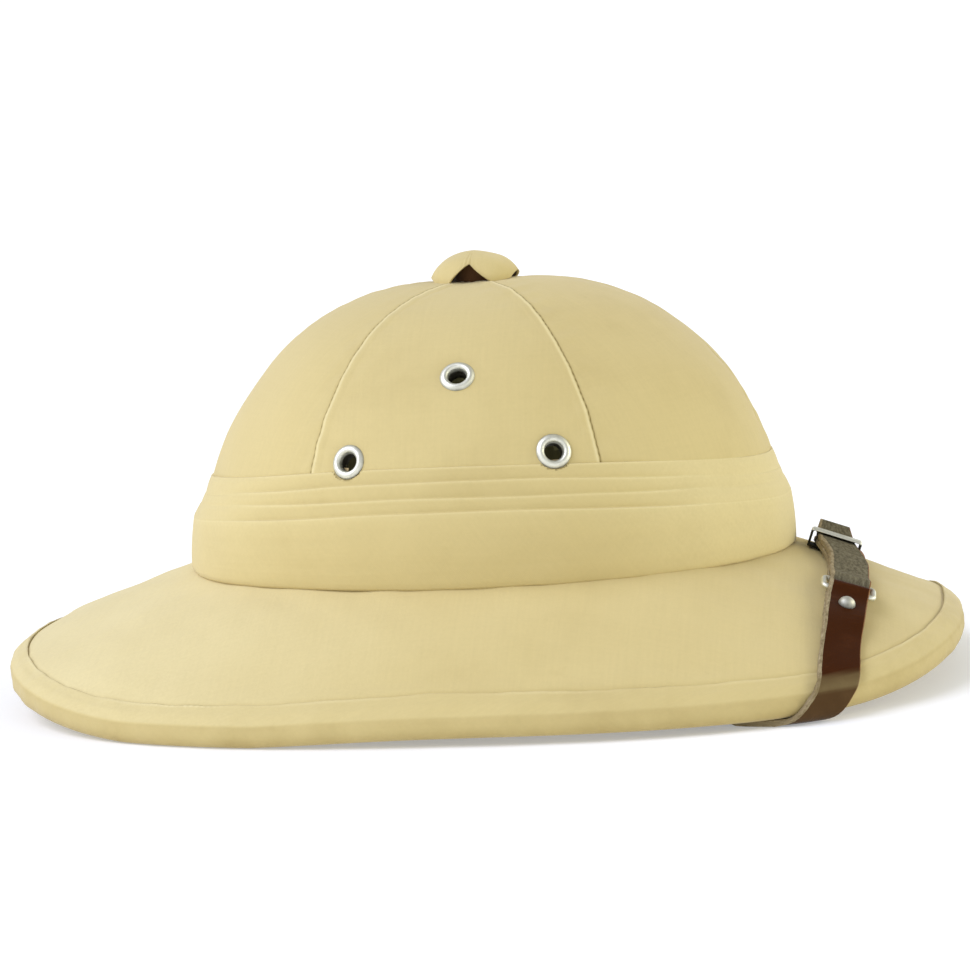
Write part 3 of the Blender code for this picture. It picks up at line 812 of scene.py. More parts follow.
@dataclass(frozen=True)
class HatForm:
    """The shapes of crown, brim and rim, shared by every piece that lies on them."""

    crown_height: float = 0.0990
    base_height: float = 0.0455
    crown_front: float = 0.1088
    crown_side: float = 0.0921
    apex_shift: float = -0.0015
    brim_front: float = 0.1711
    brim_rear: float = 0.1782
    brim_side: float = 0.1420
    brim_squareness: float = 2.50
    brim_crowning: float = 0.0017
    rim_face: float = 0.0087
    cloth: float = 0.0010
    gap: float = 0.0003
    # Fullness between foot and top, and squareness of the shoulder.
    front: Pair = (0.060, -0.021)
    side: Pair = (0.079, 0.015)
    rear: Pair = (0.036, -0.023)
    # The front is a little fuller at one rise: share of the reach, the rise, and its spread.
    front_swell: tuple[float, float, float] = (0.017, 0.64, 0.19)
    # Angle round the hat in degrees, and height of the rim's lower edge.
    rim_heights: Pairs = ((0, 0.0117), (50, 0.0023), (86, 0.0025), (115, -0.0006), (180, 0.0121))
    # The rim under its cloth: distance out, and height over its lower edge.
    shoulder: float = -0.0030
    rim_section: Pairs = (
        (-0.0016, 0.0070), (-0.0012, 0.0060), (-0.0012, 0.0022), (-0.0022, 0.0013),
        (-0.0052, 0.0013), (-0.0062, 0.0024),
    )

    @property
    def centre_x(self) -> float:
        """Where the middle of the crown stands along the hat."""
        return (self.brim_rear - self.brim_front) / 2

    @property
    def bed(self) -> float:
        """Where the moulded body may start, as a distance out from the cloth's outside."""
        return -self.cloth - self.gap

    def profile(self, shape: Pair, half_width: Number, rise: Array) -> Rows:
        """Draws the crown's outline in one direction.

        Args:
            shape: Its fullness and squareness.
            half_width: Its reach at the foot.
            rise: Angles of rise from the foot to the top.

        Returns:
            Distance out, and height over the foot.
        """
        fullness, squareness = shape
        reach = 1 / np.hypot(np.cos(rise) / half_width, np.sin(rise) / self.crown_height)
        reach = reach * (1 + fullness * np.sin(2 * rise) + squareness * np.sin(4 * rise))
        return reach * np.cos(rise), reach * np.sin(rise)

    def crown(self, rise: Array, angle: Array) -> Array:
        """Finds points on the outside of the crown's cloth.

        Args:
            rise: Angle of rise, 0 at the foot and a quarter turn at the top.
            angle: Angle round the hat.

        Returns:
            The points.
        """
        rise, angle = np.broadcast_arrays(np.asarray(rise, float), np.asarray(angle, float))
        ahead = np.cos(angle) > 0
        swell, middle, spread = self.front_swell
        wide = self.crown_front * (1 + swell * hump(rise, middle, spread))
        front = self.profile(self.front, wide, rise)
        rear = self.profile(self.rear, self.crown_front, rise)
        out_y, up_y = self.profile(self.side, self.crown_side, rise)
        out_x, up_x = np.where(ahead, front[0], rear[0]), np.where(ahead, front[1], rear[1])
        up = up_x * np.cos(angle) ** 2 + up_y * np.sin(angle) ** 2
        shift = self.apex_shift * np.maximum(up / self.crown_height, 0) ** 1.5
        x = self.centre_x + out_x * np.cos(angle) + shift
        return np.stack([x, out_y * np.sin(angle), self.base_height + up], axis=-1)

    def crown_normal(self, rise: Array, angle: Array) -> Array:
        """Finds the directions straight out of the crown.

        Args:
            rise: Angle of rise.
            angle: Angle round the hat.

        Returns:
            Directions of length 1.
        """
        step = 0.01
        along = self.crown(rise, angle + step) - self.crown(rise, angle - step)
        up = self.crown(rise + step, angle) - self.crown(rise - step, angle)
        return unit(np.cross(along, up))

    def over_crown(self, rise: Array, angle: Array, out: Number) -> Array:
        """Returns points at a distance out from the crown's cloth."""
        away = np.asarray(out, float)[..., None]
        return self.crown(rise, angle) + self.crown_normal(rise, angle) * away

    def rise_at_height(self, height: Array, angle: Array) -> Array:
        """Returns the angle of rise at heights over the foot of the crown."""
        top = self.base_height + height
        return search(0.0, QUARTER_TURN, lambda rise: self.crown(rise, angle)[..., 2] < top)

    def from_top(self, rise: Array, angle: Array) -> Array:
        """Returns the distance in plan between points on the crown and its top."""
        away = self.crown(rise, angle) - self.crown(QUARTER_TURN, 0.0)
        return np.hypot(away[..., 0], away[..., 1])

    def rise_at_reach(self, reach: float, angle: Array) -> Array:
        """Returns the angle of rise where the crown has narrowed to a reach from its top."""
        return search(pi / 6, QUARTER_TURN, lambda rise: self.from_top(rise, angle) > reach)

    def rim_height(self, angle: Array) -> Array:
        """Finds the height of the rim's lower edge over the table.

        Args:
            angle: Angle round the hat.

        Returns:
            The heights.
        """
        turn = np.abs((np.degrees(angle) + 180) % 360 - 180)
        height = np.full(np.shape(turn), self.rim_heights[-1][1])
        for (start, low), (end, high) in zip(self.rim_heights[-2::-1], self.rim_heights[:0:-1]):
            share = (1 - np.cos(pi * np.clip((turn - start) / (end - start), 0, 1))) / 2
            height = np.where(turn <= end, blend(low, high, share), height)
        return np.maximum(height, 0.0)

    def rim(self, angle: Array) -> Array:
        """Draws the rim's outline in plan.

        Args:
            angle: Angle round the hat.

        Returns:
            Its points, at table height.
        """
        power = 2 / self.brim_squareness
        c, s = np.cos(angle), np.sin(angle)
        reach = np.where(c > 0, self.brim_front, self.brim_rear)
        x = reach * np.abs(c) ** power * np.sign(c)
        y = self.brim_side * np.abs(s) ** power * np.sign(s)
        return np.stack([self.centre_x + x, y, np.zeros_like(x)], axis=-1)

    def section(self, angle: Array) -> tuple[Array, Array, Array, Array]:
        """Sets up the upright planes through the brim.

        Args:
            angle: Angle round the hat.

        Returns:
            The rim's point, the direction outward, and the brim's length and the rim's height.
        """
        foot = self.crown(0.0, angle)
        foot[..., 2] = 0
        rim = self.rim(angle)
        return rim, unit(rim - foot), np.linalg.norm(rim - foot, axis=-1), self.rim_height(angle)

    def place(self, angle: Array, out: Number, height: Number) -> Array:
        """Finds points in the upright planes through the brim.

        Args:
            angle: Angle round the hat.
            out: Distance out from the rim.
            height: Height over the table.

        Returns:
            The points.
        """
        rim, across, _, _ = self.section(angle)
        point = rim + across * np.asarray(out)[..., None]
        point[..., 2] = height
        return point

    def surface(self, angle: Array, inward: Number, out: Number) -> Rows:
        """Finds points at a distance from the brim's cloth, in its upright planes.

        Args:
            angle: Angle round the hat.
            inward: How far in from the rim they lie.
            out: Their distance from the cloth, upward.

        Returns:
            Distance out from the rim, and height.
        """
        _, _, length, low = self.section(angle)
        top = low + self.rim_face
        share = inward / length
        height = blend(top, self.base_height, share)
        height = height + self.brim_crowning * 4 * share * (1 - share)
        slope = (self.base_height - top + self.brim_crowning * 4 * (1 - 2 * share)) / length
        size = np.hypot(slope, 1)
        return -inward + out * slope / size, height + out / size

    def brim(self, angle: Array, inward: Number, out: Number) -> Array:
        """Returns points over the brim's cloth, inward from the rim."""
        angle, inward, out = np.broadcast_arrays(angle, inward, out)
        return self.place(angle, *self.surface(angle, inward, out))

    def rim_core(self, angle: Array) -> Rows:
        """Draws the rim's section under its cloth.

        Args:
            angle: Angle round the hat.

        Returns:
            Distance out and height, in rows from the shoulder to the inner heel.
        """
        out, height = self.surface(angle, -self.shoulder, self.bed)
        low = self.rim_height(angle)
        outs = [out] + [np.full_like(out, away) for away, _ in self.rim_section]
        heights = [height] + [low + up for _, up in self.rim_section]
        return np.stack(outs), np.stack(heights)


FORM = HatForm()


def offset_rows(outs: Array, heights: Array, distance: float) -> Rows:
    """Moves open section lines to their left by a distance.

    Args:
        outs: Distance out of each row of the line.
        heights: Height of each row.
        distance: How far to move.

    Returns:
        The moved distances and heights.
    """
    line = np.stack([outs, heights], axis=-1)
    way = unit(np.diff(line, axis=0))
    normal = np.stack([-way[..., 1], way[..., 0]], axis=-1)
    total = np.concatenate([normal[:1], normal[:-1] + normal[1:], normal[-1:]])
    sides = np.full((len(line),) + (1,) * (line.ndim - 1), 2.0)
    sides[[0, -1]] = 1.0
    moved = line + total * (distance * sides / (total**2).sum(axis=-1, keepdims=True))
    return moved[..., 0], moved[..., 1]


# ---- crown and brim


@dataclass(frozen=True)
class Eyelet:
    """One ventilation eyelet: its node, angle round the hat and height over the crown's foot."""

    name: str
    angle: float
    height: float

    @property
    def centre(self) -> Array:
        """The middle of its hole on the cloth."""
        return FORM.crown(FORM.rise_at_height(self.height, self.angle), self.angle)

    @property
    def axis(self) -> Array:
        """The direction straight out of it."""
        return FORM.crown_normal(FORM.rise_at_height(self.height, self.angle), self.angle)


EYELETS = tuple(
    Eyelet(f"eyelet_{hand}_{spot}", radians(turn) * side, height)
    for side, hand in ((-1, "right"), (1, "left"))
    for spot, turn, height in (
        ("top", 87.9, 0.0698),
        ("front", 69.0, 0.0437),
        ("rear", 111.2, 0.0428),
    )
)


def near_eyelets(points: Array) -> Array:
    """Returns the distance of points from the nearest eyelet's middle."""
    away = [np.linalg.norm(points - eyelet.centre, axis=-1) for eyelet in EYELETS]
    return np.min(away, axis=0)


def face_means(values: Array) -> Array:
    """Returns the mean of each face's corners over a grid."""
    return (values[:-1, :-1] + values[1:, :-1] + values[:-1, 1:] + values[1:, 1:]) / 4


@dataclass(frozen=True)
class Crown:
    """The six cloth gores over the crown; the two side ones lap over their neighbours."""

    panels: int = 6
    rows: int = 124
    columns: int = 74
    # How strongly the columns crowd towards the seams.
    crowding: float = 1.8
    foot_rise: float = 0.004
    vent_radius: float = 0.0070
    hole: float = 0.0047
    seam_gap: float = 0.00003
    # The gap's angle is taken at this reach at least.
    least_reach: float = 0.005
    turned_in: float = 0.0004
    stitch: float = 0.0027
    uneven: Wander = Wander(0.045, 0.00020, 11)
    pucker: Wander = Wander(0.010, 0.00009, 12)
    # Over the distance from a seam: puckers, the welt of a lapping gore, the pull of its
    # stitches, and the valley of a gore that is lapped.
    puckered: Peak = Peak(1.4, 0.0, 0.010)
    welt: Slope = Slope(0.00022, 0.0040, 0.0030)
    stitches: Peak = Peak(0.3, 0.0012, 0.0006)
    valley: Peak = Peak(0.00022, 0.0, 0.0006)
    # Over the distance from an eyelet.
    dimple: Peak = Peak(0.0006, 0.0, 0.0080)
    eyelet_soil: Peak = Peak(0.10, 0.0058, 0.0022)
    seam_soil: Peak = Peak(0.05, 0.0, 0.008)
    # Over the distance from a seam: a paler strip, painted highlight on the welt of a lapping
    # gore.
    welt_highlight: Peak = Peak(0.95, 0.0009, 0.0005)
    # Over the distance run from the foot: darker towards it.
    foot_darkening: Slope = Slope(0.08, 0.045, 0.0)
    # Painted shade over the upper front, standing in for the light falling from the left: place
    # along the hat, and height.
    front_shade: Slope = Slope(0.20, 0.0, 0.055)
    front_shade_rise: Slope = Slope(1.0, 0.085, 0.120)

    def gore(self, number: int) -> Object:
        """Makes one gore.

        Args:
            number: Which one, from 0 at the front on the left.

        Returns:
            Its object.
        """
        width = FULL_TURN / self.panels
        middle = number * width + width / 2
        laps_over = abs(sin(middle)) > 0.9
        share = np.linspace(-1, 1, self.columns + 1)
        share = np.sign(share) * (1 - (1 - np.abs(share)) ** self.crowding)
        share = np.concatenate([[-1.0], share, [1.0]])
        top = float(FORM.rise_at_reach(self.vent_radius, middle))
        rise = np.linspace(self.foot_rise, top, self.rows + 1)[:, None]
        spine = FORM.crown(rise, middle)
        reach = np.linalg.norm(spine[..., :2], axis=-1)
        along = run_length(spine)
        half = width / 2 - self.seam_gap / np.maximum(reach, self.least_reach)
        angle = middle + share * half
        base = FORM.crown(rise, angle)
        across = run_length(base, axis=1)
        seam = np.minimum(across, across[:, -1:] - across)
        away = near_eyelets(base)
        out = self.uneven.at(base) + self.pucker.at(base) * self.puckered.at(seam)
        grime = self.seam_soil.at(seam) + self.eyelet_soil.at(away) + self.foot_darkening.at(along)
        # Painted shade over the upper front of the crown.
        grime = grime + self.front_shade.at(base[..., 0]) * self.front_shade_rise.at(base[..., 2])
        if laps_over:
            tie = 0.5 + 0.5 * np.cos(FULL_TURN * along / self.stitch)
            out = out + self.welt.at(seam) * (1.0 - tie * self.stitches.at(seam))
            # Painted highlight along the welt.
            grime = grime - self.welt_highlight.at(seam)
        else:
            out = out - self.valley.at(seam)
        out = out - self.dimple.at(away)
        out[:, [0, -1]] -= self.turned_in
        uv = np.stack(np.broadcast_arrays(across - across[:, -1:] / 2, along), axis=-1)
        edge = np.stack(np.broadcast_arrays(seam, along), axis=-1)
        keep = face_means(away) > self.hole
        points = FORM.over_crown(rise, angle, out)
        patch = Patch(points, uv, grime=grime, edge=edge, keep=keep)
        return mesh_object(f"gore_{number + 1}", [patch])

    def mesh(self) -> list[Object]:
        """Returns the gores."""
        return [self.gore(number) for number in range(self.panels)]

    def dress(self, gores: list[Object], finish: Material) -> None:
        """Gives the gores their cloth and puts them in the frame."""
        for number, gore in enumerate(gores):
            place(gore, [finish], "cloth", f"crown_panel_{number + 1}")


@dataclass(frozen=True)
class Shell:
    """The moulded body: it shows inside the hat, under the brim and through the vents."""

    crown_wall: float = 0.0030
    rim_wall: float = 0.0042
    # How far it stays clear of the cloth over it.
    ease: float = 0.0006
    vent_radius: float = 0.0070
    hole: float = 0.0055
    brim_rows: tuple[float, ...] = (0.040, 0.026, 0.014)
    under_rows: tuple[float, ...] = (0.0125, 0.030)
    crown_rows: int = 26
    inside_rows: int = 60
    columns: int = 300
    uneven: Wander = Wander(0.030, 0.00030, 31)
    # Height of the point that the unevenness goes away from.
    heart: float = 0.04
    # The board inside the crown is painted dark as shade, from this height over its foot.
    shade_from: float = 0.004

    def mesh(self) -> Object:
        """Makes the body as one hoop-shaped surface.

        Returns:
            Its object, with slot 1 for the inside of the crown.
        """
        angle = around_hat(self.columns)
        outer, inner = FORM.bed - self.ease, FORM.bed - self.crown_wall
        under_brim = -self.rim_wall - FORM.cloth
        top = FORM.rise_at_reach(self.vent_radius, angle)
        _, _, length, _ = FORM.section(angle)
        down, climb = np.linspace(1, 0, self.crown_rows), np.linspace(0, 1, self.inside_rows)
        rings = [FORM.over_crown(top * share, angle, outer) for share in down]
        rings.append(FORM.place(angle, outer - length, FORM.base_height + FORM.bed))
        rings += [FORM.brim(angle, row, outer) for row in self.brim_rows]
        rings += [FORM.place(angle, out, height) for out, height in zip(*FORM.rim_core(angle))]
        under = [rings[-1]] + [FORM.brim(angle, row, under_brim) for row in self.under_rows]
        under.append(FORM.place(angle, inner - length, FORM.base_height + inner))
        inside = [FORM.over_crown(top * share, angle, inner) for share in climb[1:]]
        inside = np.concatenate([rounded(np.stack(under), 3), np.stack(inside)])
        inside = inside + unit(inside - self.heart * UP) * self.uneven.at(inside)[..., None]
        grid = np.concatenate([np.stack(rings), inside[1:]])
        uv = np.stack([run_length(closed(grid), axis=1), closed(run_length(grid))], axis=-1)
        keep = face_means(near_eyelets(closed(grid))) > self.hole
        in_crown = grid[:, 0, 2] > FORM.base_height + self.shade_from
        slots = (in_crown & (np.arange(len(grid)) > len(rings))).astype(int)
        patch = Patch(grid, uv, loop_columns=True, slots=slots, keep=keep, flip=True)
        return mesh_object("moulded_shell", [patch])

    def dress(self, body: Object, finish: Material, inside: Material) -> None:
        """Gives the body its board, painted dark inside the crown as shade, and puts it in the
        frame.
        """
        nodes = [f"body_{part}_{n + 1}" for part in ("crown", "brim") for n in range(6)]
        place(body, [finish, inside], "moulded_body", *nodes)


@dataclass(frozen=True)
class Brim:
    """The cloth over the brim and the binding round its edge."""

    band_width: float = 0.0068
    cover_rows: int = 34
    cover_columns: int = 720
    band_columns: int = 900
    # How far the cover stops short of the crown, and runs on under the binding.
    foot_gap: float = 0.0006
    tucked: float = 0.0030
    cover_uneven: tuple[Wander, Wander] = (Wander(0.060, 0.00028, 21), Wander(0.016, 0.00010, 22))
    # Over the distance inward from the binding: share of the unevenness, and the tuck.
    settled: Slope = Slope(1.0, 0.0, 0.006)
    tuck: Slope = Slope(0.0007, 0.0008, -0.0004)
    # Painted shade on the cover next to the binding's turned edge.
    band_shade: Peak = Peak(0.10, 0.0, 0.0012)
    # Painted shade near the crown's foot, where the puggaree meets the brim.
    foot_darkening: Peak = Peak(0.12, 0.0, 0.004)
    # Painted light: both cloths are paler towards the rear, standing in for the light that falls
    # there.
    painted_light: Slope = Slope(0.95, 0.03, -0.15)
    band_painted_light: Slope = Slope(0.55, 0.03, -0.15)
    patchy: Wander = Wander(0.05, 0.03, 26)
    # The binding's turned edge stands up a little, the more so at the front and the rear: its
    # lift, and rows of distance outward and share of it.
    lift: float = 0.0006
    roll: Pairs = ((0.0, 1.0), (0.0010, 1.1), (0.0024, 0.3))
    fold_in: Pair = (0.0002, 0.0006)
    gape_front: Peak = Peak(1.0, 0.0, 42.0)
    gape_rear: Peak = Peak(1.0, 180.0, 38.0)
    # Shares of the way to the rows beside the upper corner, which keep it crisp.
    beside: Pair = (0.25, 0.4)
    band_uneven: tuple[Wander, Wander] = (Wander(0.020, 0.00012, 23), Wander(0.007, 0.00006, 24))
    # Over the height from the binding's lower edge, and from its upper corner; it is darker on its
    # outer face and towards its lower edge as painted shade.
    free: Slope = Slope(1.0, 0.0004, 0.0016)
    low_shade: Slope = Slope(0.45, 0.0050, 0.0005)
    face_shade: Slope = Slope(0.38, -0.0006, -0.0018)
    upper_face: Slope = Slope(1.0, -0.0018, -0.0004)
    # Over the distance from the line of its turned edge: painted shade along it, and a paler strip
    # beside it that is partly rubbed wear and partly painted highlight.
    turned_edge: float = 0.0011
    fold_shade: Peak = Peak(0.10, 0.0, 0.0012)
    fold_wear_and_highlight: Peak = Peak(0.45, 0.0008, 0.0006)
    # Its open seam, a dark line of painted shadow in its gap: how much of it shows everywhere, how
    # unevenly, and where it is frayed.
    seen: float = 0.10
    faint: Wander = Wander(0.030, 0.30, 25)
    hidden: float = 0.00040
    frayed: Peak = Peak(1.0, -0.0825, 0.011)
    loose: Peak = Peak(0.9, 0.0007, 0.0004)
    loose_step: float = 0.0023

    def cover(self) -> Object:
        """Makes the ring of cloth from the foot of the crown to under the binding.

        Returns:
            Its object.
        """
        angle = around_hat(self.cover_columns)[None, :]
        _, _, length, _ = FORM.section(angle)
        share = np.linspace(0, 1, self.cover_rows + 1)[:, None]
        share = (ramp(share, 0, 1) + share) / 2
        inward = blend(length - self.foot_gap, self.band_width - self.tucked, share)
        base = FORM.brim(angle, inward, 0.0)
        away = inward - self.band_width
        out = sum(wander.at(base) for wander in self.cover_uneven)
        out = out * self.settled.at(away) - self.tuck.at(away)
        grime = self.band_shade.at(away) + self.foot_darkening.at(inward - length)
        # Painted light towards the rear, and tone that differs at random.
        grime = grime - self.painted_light.at(base[..., 0]) + self.patchy.at(base)
        uv = closed(base)[..., :2]
        patch = Patch(FORM.brim(angle, inward, out), uv, loop_columns=True, grime=grime)
        return mesh_object("brim_cloth", [patch])

    def gape(self, angle: Array) -> Array:
        """Returns how far the binding gapes: most at the front and the rear."""
        turn = np.degrees(angle)
        return np.maximum(self.gape_front.at((turn + 180) % 360 - 180), self.gape_rear.at(turn))

    def band_line(self, angle: Array) -> Rows:
        """Draws the binding's section, from its turned edge over the rim to its heel.

        Args:
            angle: Angle round the hat.

        Returns:
            Distance out and height, in rows.
        """
        start = FORM.surface(angle, self.band_width, FORM.bed)
        outs, ups = (np.vstack([first, rest]) for first, rest in zip(start, FORM.rim_core(angle)))
        inner = np.stack(offset_rows(outs, ups, FORM.gap), axis=1)
        outer = np.stack(offset_rows(outs, ups, FORM.gap + FORM.cloth), axis=1)
        outer[:, 1] = np.maximum(outer[:, 1], FORM.rim_height(angle))
        lift = self.lift * (0.4 + 0.6 * self.gape(angle))
        rolled = np.stack([
            FORM.surface(angle, self.band_width - back, lift * share) for back, share in self.roll
        ])
        folded = rolled[0] - np.array(self.fold_in)[:, None]
        shoulder, corner, face = outer[1:4]
        above, below = blend(corner, shoulder, self.beside[0]), blend(corner, face, self.beside[1])
        rows = [inner[0], folded, *rolled, shoulder, above, corner, below, *outer[3:], inner[-1]]
        line = rounded(np.stack(rows), 2)
        return line[:, 0], line[:, 1]

    def binding(self) -> Object:
        """Makes the cloth binding, turned under at its inner edge, round the rim.

        Returns:
            Its object.
        """
        angle = around_hat(self.band_columns)
        out, up = self.band_line(angle)
        points = FORM.place(np.broadcast_to(angle, out.shape), out, up)
        around, over = run_length(closed(points), axis=1), run_length(closed(points))
        uneven = sum(wander.at(points) for wander in self.band_uneven)
        normal = np.cross(np.roll(points, -1, axis=1) - points, np.gradient(points, axis=0))
        height = up - FORM.rim_height(angle)
        points = points - unit(normal) * (uneven * self.free.at(height))[..., None]
        face = height - FORM.rim_face
        fold = over[:, :-1] - self.turned_edge
        along = around[0, :-1]
        # Painted shade along the turned edge, on the outer face and towards the lower edge.
        grime = self.fold_shade.at(fold) + self.low_shade.at(height) + self.face_shade.at(face)
        # Painted light on the binding's upper face, towards the rear.
        grime = grime - self.upper_face.at(face) * self.band_painted_light.at(points[..., 0])
        # Paler beside the turned edge: rubbed wear and painted highlight.
        grime = grime - self.fold_wear_and_highlight.at(fold) * (0.6 + 0.4 * np.sin(along * 90))
        # The open seam is judged at the row of the fold.
        edge_row = points[4]
        frayed = self.frayed.at(edge_row[:, 0]) * (edge_row[:, 1] < 0)
        # How strongly the open seam's painted shadow shows.
        gap_shadow = self.seen + self.gape(angle) + self.faint.at(edge_row) + frayed
        threads = np.sin(along * FULL_TURN / self.loose_step) > 0.3
        grime = grime - self.loose.at(fold) * frayed * threads
        aside = np.abs(fold) + self.hidden * (1 - np.clip(gap_shadow, 0.0, 1.0))
        edge = np.stack([closed(aside), around], axis=-1)
        uv = np.stack([around, over], axis=-1)
        patch = Patch(points, uv, loop_columns=True, grime=grime, edge=edge)
        return mesh_object("edge_binding", [patch])

    def dress(self, cover: Object, binding: Object, cloths: dict[str, Material]) -> None:
        """Gives cover and binding their cloths and puts them in the frame."""
        place(cover, [cloths["brim"]], "cloth", "brim_cover")
        place(binding, [cloths["binding"]], "cloth", "edge_band")


@dataclass(frozen=True)
class Puggaree:
    """The pleated cloth band round the foot of the crown."""

    # Height of each fold's upper edge at the ends of the hat and at its sides, and how far it
    # stands out at the ends and at the sides.
    folds: tuple[tuple[float, float, float, float], ...] = (
        (0.0336, 0.0403, 0.0006, 0.0006), (0.0275, 0.0355, 0.0010, 0.0010),
        (0.0241, 0.0298, 0.0016, 0.0014), (0.0180, 0.0252, 0.0029, 0.0021),
    )
    # Rows of a fold's upper edge: height over it, share of the way out, how much further out as a
    # factor and in metres, and painted light: shade just above the edge, paler where the edge
    # catches the light.
    lip: tuple[tuple[float, float, float, float, float], ...] = (
        (0.00022, 0.30, 1.0, 0.0, 0.14), (0.00006, 0.85, 1.0, 0.0, -0.25),
        (-0.00015, 1.0, 1.0, 0.0, -0.50), (-0.0006, 1.0, 1.01, 0.00002, -0.15),
    )
    # Rows of its face: share of the way down, and share of the painted shade at its foot.
    face: Pairs = ((0.25, 0.0), (0.45, 0.0), (0.65, 0.4), (0.85, 1.0))
    face_swell: float = 0.00008
    # The band's first row: height over the first fold, distance out, and painted shade where it
    # meets the crown.
    start: tuple[float, float, float] = (-0.0004, -0.0003, 0.25)
    # The last two rows of the band: height over the foot, share of the way out, and painted shade
    # where it meets the brim.
    foot: tuple[tuple[float, float, float], ...] = ((0.0, 0.98, 0.15), (-0.0001, 0.3, 0.5))
    foot_gap: float = 0.00022
    overlap: float = 0.0003
    # Painted shade at the foot of the last fold and of the others, and more of it where they meet.
    last_fold_shade: float = 0.02
    fold_shade: float = 0.16
    meeting: float = 1.4
    # How flat the folds are pressed towards the ends of the hat, the last one less so.
    pressed: float = 0.95
    last_pressed: float = 0.5
    pressed_from: Pair = (38.0, 58.0)
    # Size and depth of each fold's sway in height, and of its swell.
    sway: Pair = (0.060, 0.00008)
    swell: Pair = (0.035, 0.06)
    rear_swell: Slope = Slope(0.55, 0.5, 1.0)
    uneven: Wander = Wander(0.026, 0.00010, 70)
    free: Slope = Slope(1.0, 0.0004, 0.0012)
    # Painted light: it is paler at the front and the rear, and a little darker at the sides,
    # standing in for how the light falls.
    front_painted_light: Slope = Slope(0.50, 0.35, 0.85)
    rear_painted_light: Slope = Slope(0.22, 0.4, 0.9)
    side_shade: float = 0.07
    ring_rise: float = 0.15
    least_height: float = 0.0002
    columns: int = 720
    hole: float = 0.0066

    def edges(self, angle: Array) -> tuple[list[Array], list[Array]]:
        """Lays out the folds.

        Args:
            angle: Angle round the hat.

        Returns:
            For each fold, the height of its upper edge and how far it stands out.
        """
        side = np.sin(angle) ** 2
        ring = FORM.crown(self.ring_rise, angle)
        full = 1 + self.rear_swell.at(-np.cos(angle))
        heights, outs = [], []
        for i, (ends, sides, out, out_side) in enumerate(self.folds):
            sway = Wander(*self.sway, 40 + i).at(ring)
            heights.append(blend(ends, sides, side) + sway)
            swell = 1 + Wander(*self.swell, 60 + i).at(ring)
            outs.append(blend(out, out_side, side) * swell * full)
        return heights, outs

    def lines(self, angle: Array) -> tuple[Array, Array, Array]:
        """Draws the band's section: each fold stands a little over the fold above it.

        Args:
            angle: Angle round the hat.

        Returns:
            Height, distance out, and painted shade and light, in rows from the top of the band to
            its foot.
        """
        edges, outs = self.edges(angle)
        start, end = (sin(radians(turn)) for turn in self.pressed_from)
        flat = ramp(np.abs(np.cos(angle)), start, end)
        height, out, stain_and_painted_light = (np.full_like(angle, value) for value in self.start)
        rows, under = [(edges[0] + height, out, stain_and_painted_light)], out
        _, _, length, _ = FORM.section(angle)
        brim = FORM.surface(angle, length - outs[-1], 0.0)[1] - FORM.base_height
        for i, (edge, out) in enumerate(zip(edges, outs)):
            last = i + 1 == len(edges)
            foot = brim + self.foot_gap if last else edges[i + 1] + self.overlap
            low = out if last else blend(out, outs[i + 1], flat * self.pressed)
            line = 1 - flat * (self.last_pressed if last else self.pressed)
            soft = np.full_like(angle, self.last_fold_shade) if last else self.fold_shade * line
            # Painted shade just above each fold's edge, painted highlight on the edge itself, and
            # painted shade at each fold's foot.
            for over, share, factor, further, stain_and_painted_light in self.lip:
                stand = blend(under, out, share) * factor + further
                rows.append((edge + over, stand, stain_and_painted_light * line))
            for share, stain_and_painted_light in self.face:
                swell = self.face_swell * sin(pi * share)
                height = edge - (edge - foot) * share
                rows.append((height, blend(out, low, share) + swell, soft * stain_and_painted_light))
            if last:
                rows += [(foot + up, out * share, 0 * out + stain_and_painted_light) for up, share, stain_and_painted_light in self.foot]
            else:
                rows.append((foot + self.overlap, low, soft * self.meeting))
            under = low
        up, out, stain_and_painted_light = np.moveaxis(rounded(np.array(rows), 1), 1, 0)
        return up, out, stain_and_painted_light

    def mesh(self) -> Object:
        """Makes the band.

        Returns:
            Its object.
        """
        angle = around_hat(self.columns)
        up, out, grime = self.lines(angle)
        # Painted light at the front and the rear, painted shade at the sides.
        painted_light = self.front_painted_light.at(np.cos(angle)) + self.rear_painted_light.at(-np.cos(angle))
        grime = grime - painted_light + self.side_shade * np.sin(angle) ** 2
        rise = FORM.rise_at_height(np.maximum(up, self.least_height), angle)
        base = FORM.crown(rise, angle)
        out = out + self.uneven.at(base) * self.free.at(out)
        points = FORM.over_crown(rise, angle, out)
        points[..., 2] += np.minimum(up, 0.0)
        around = run_length(FORM.crown(self.ring_rise, angle))
        around = np.append(around, around[-1] + around[1])
        uv = np.stack(np.broadcast_arrays(around, run_length(points[:, :1])), axis=-1)
        keep = face_means(near_eyelets(closed(base))) > self.hole
        patch = Patch(points, uv, loop_columns=True, grime=grime, keep=keep, flip=True)
        return mesh_object("puggaree_band", [patch])

    def dress(self, band: Object, finish: Material) -> None:
        """Gives the band its cloth and puts it in the frame."""
        place(band, [finish], "cloth", "puggaree")


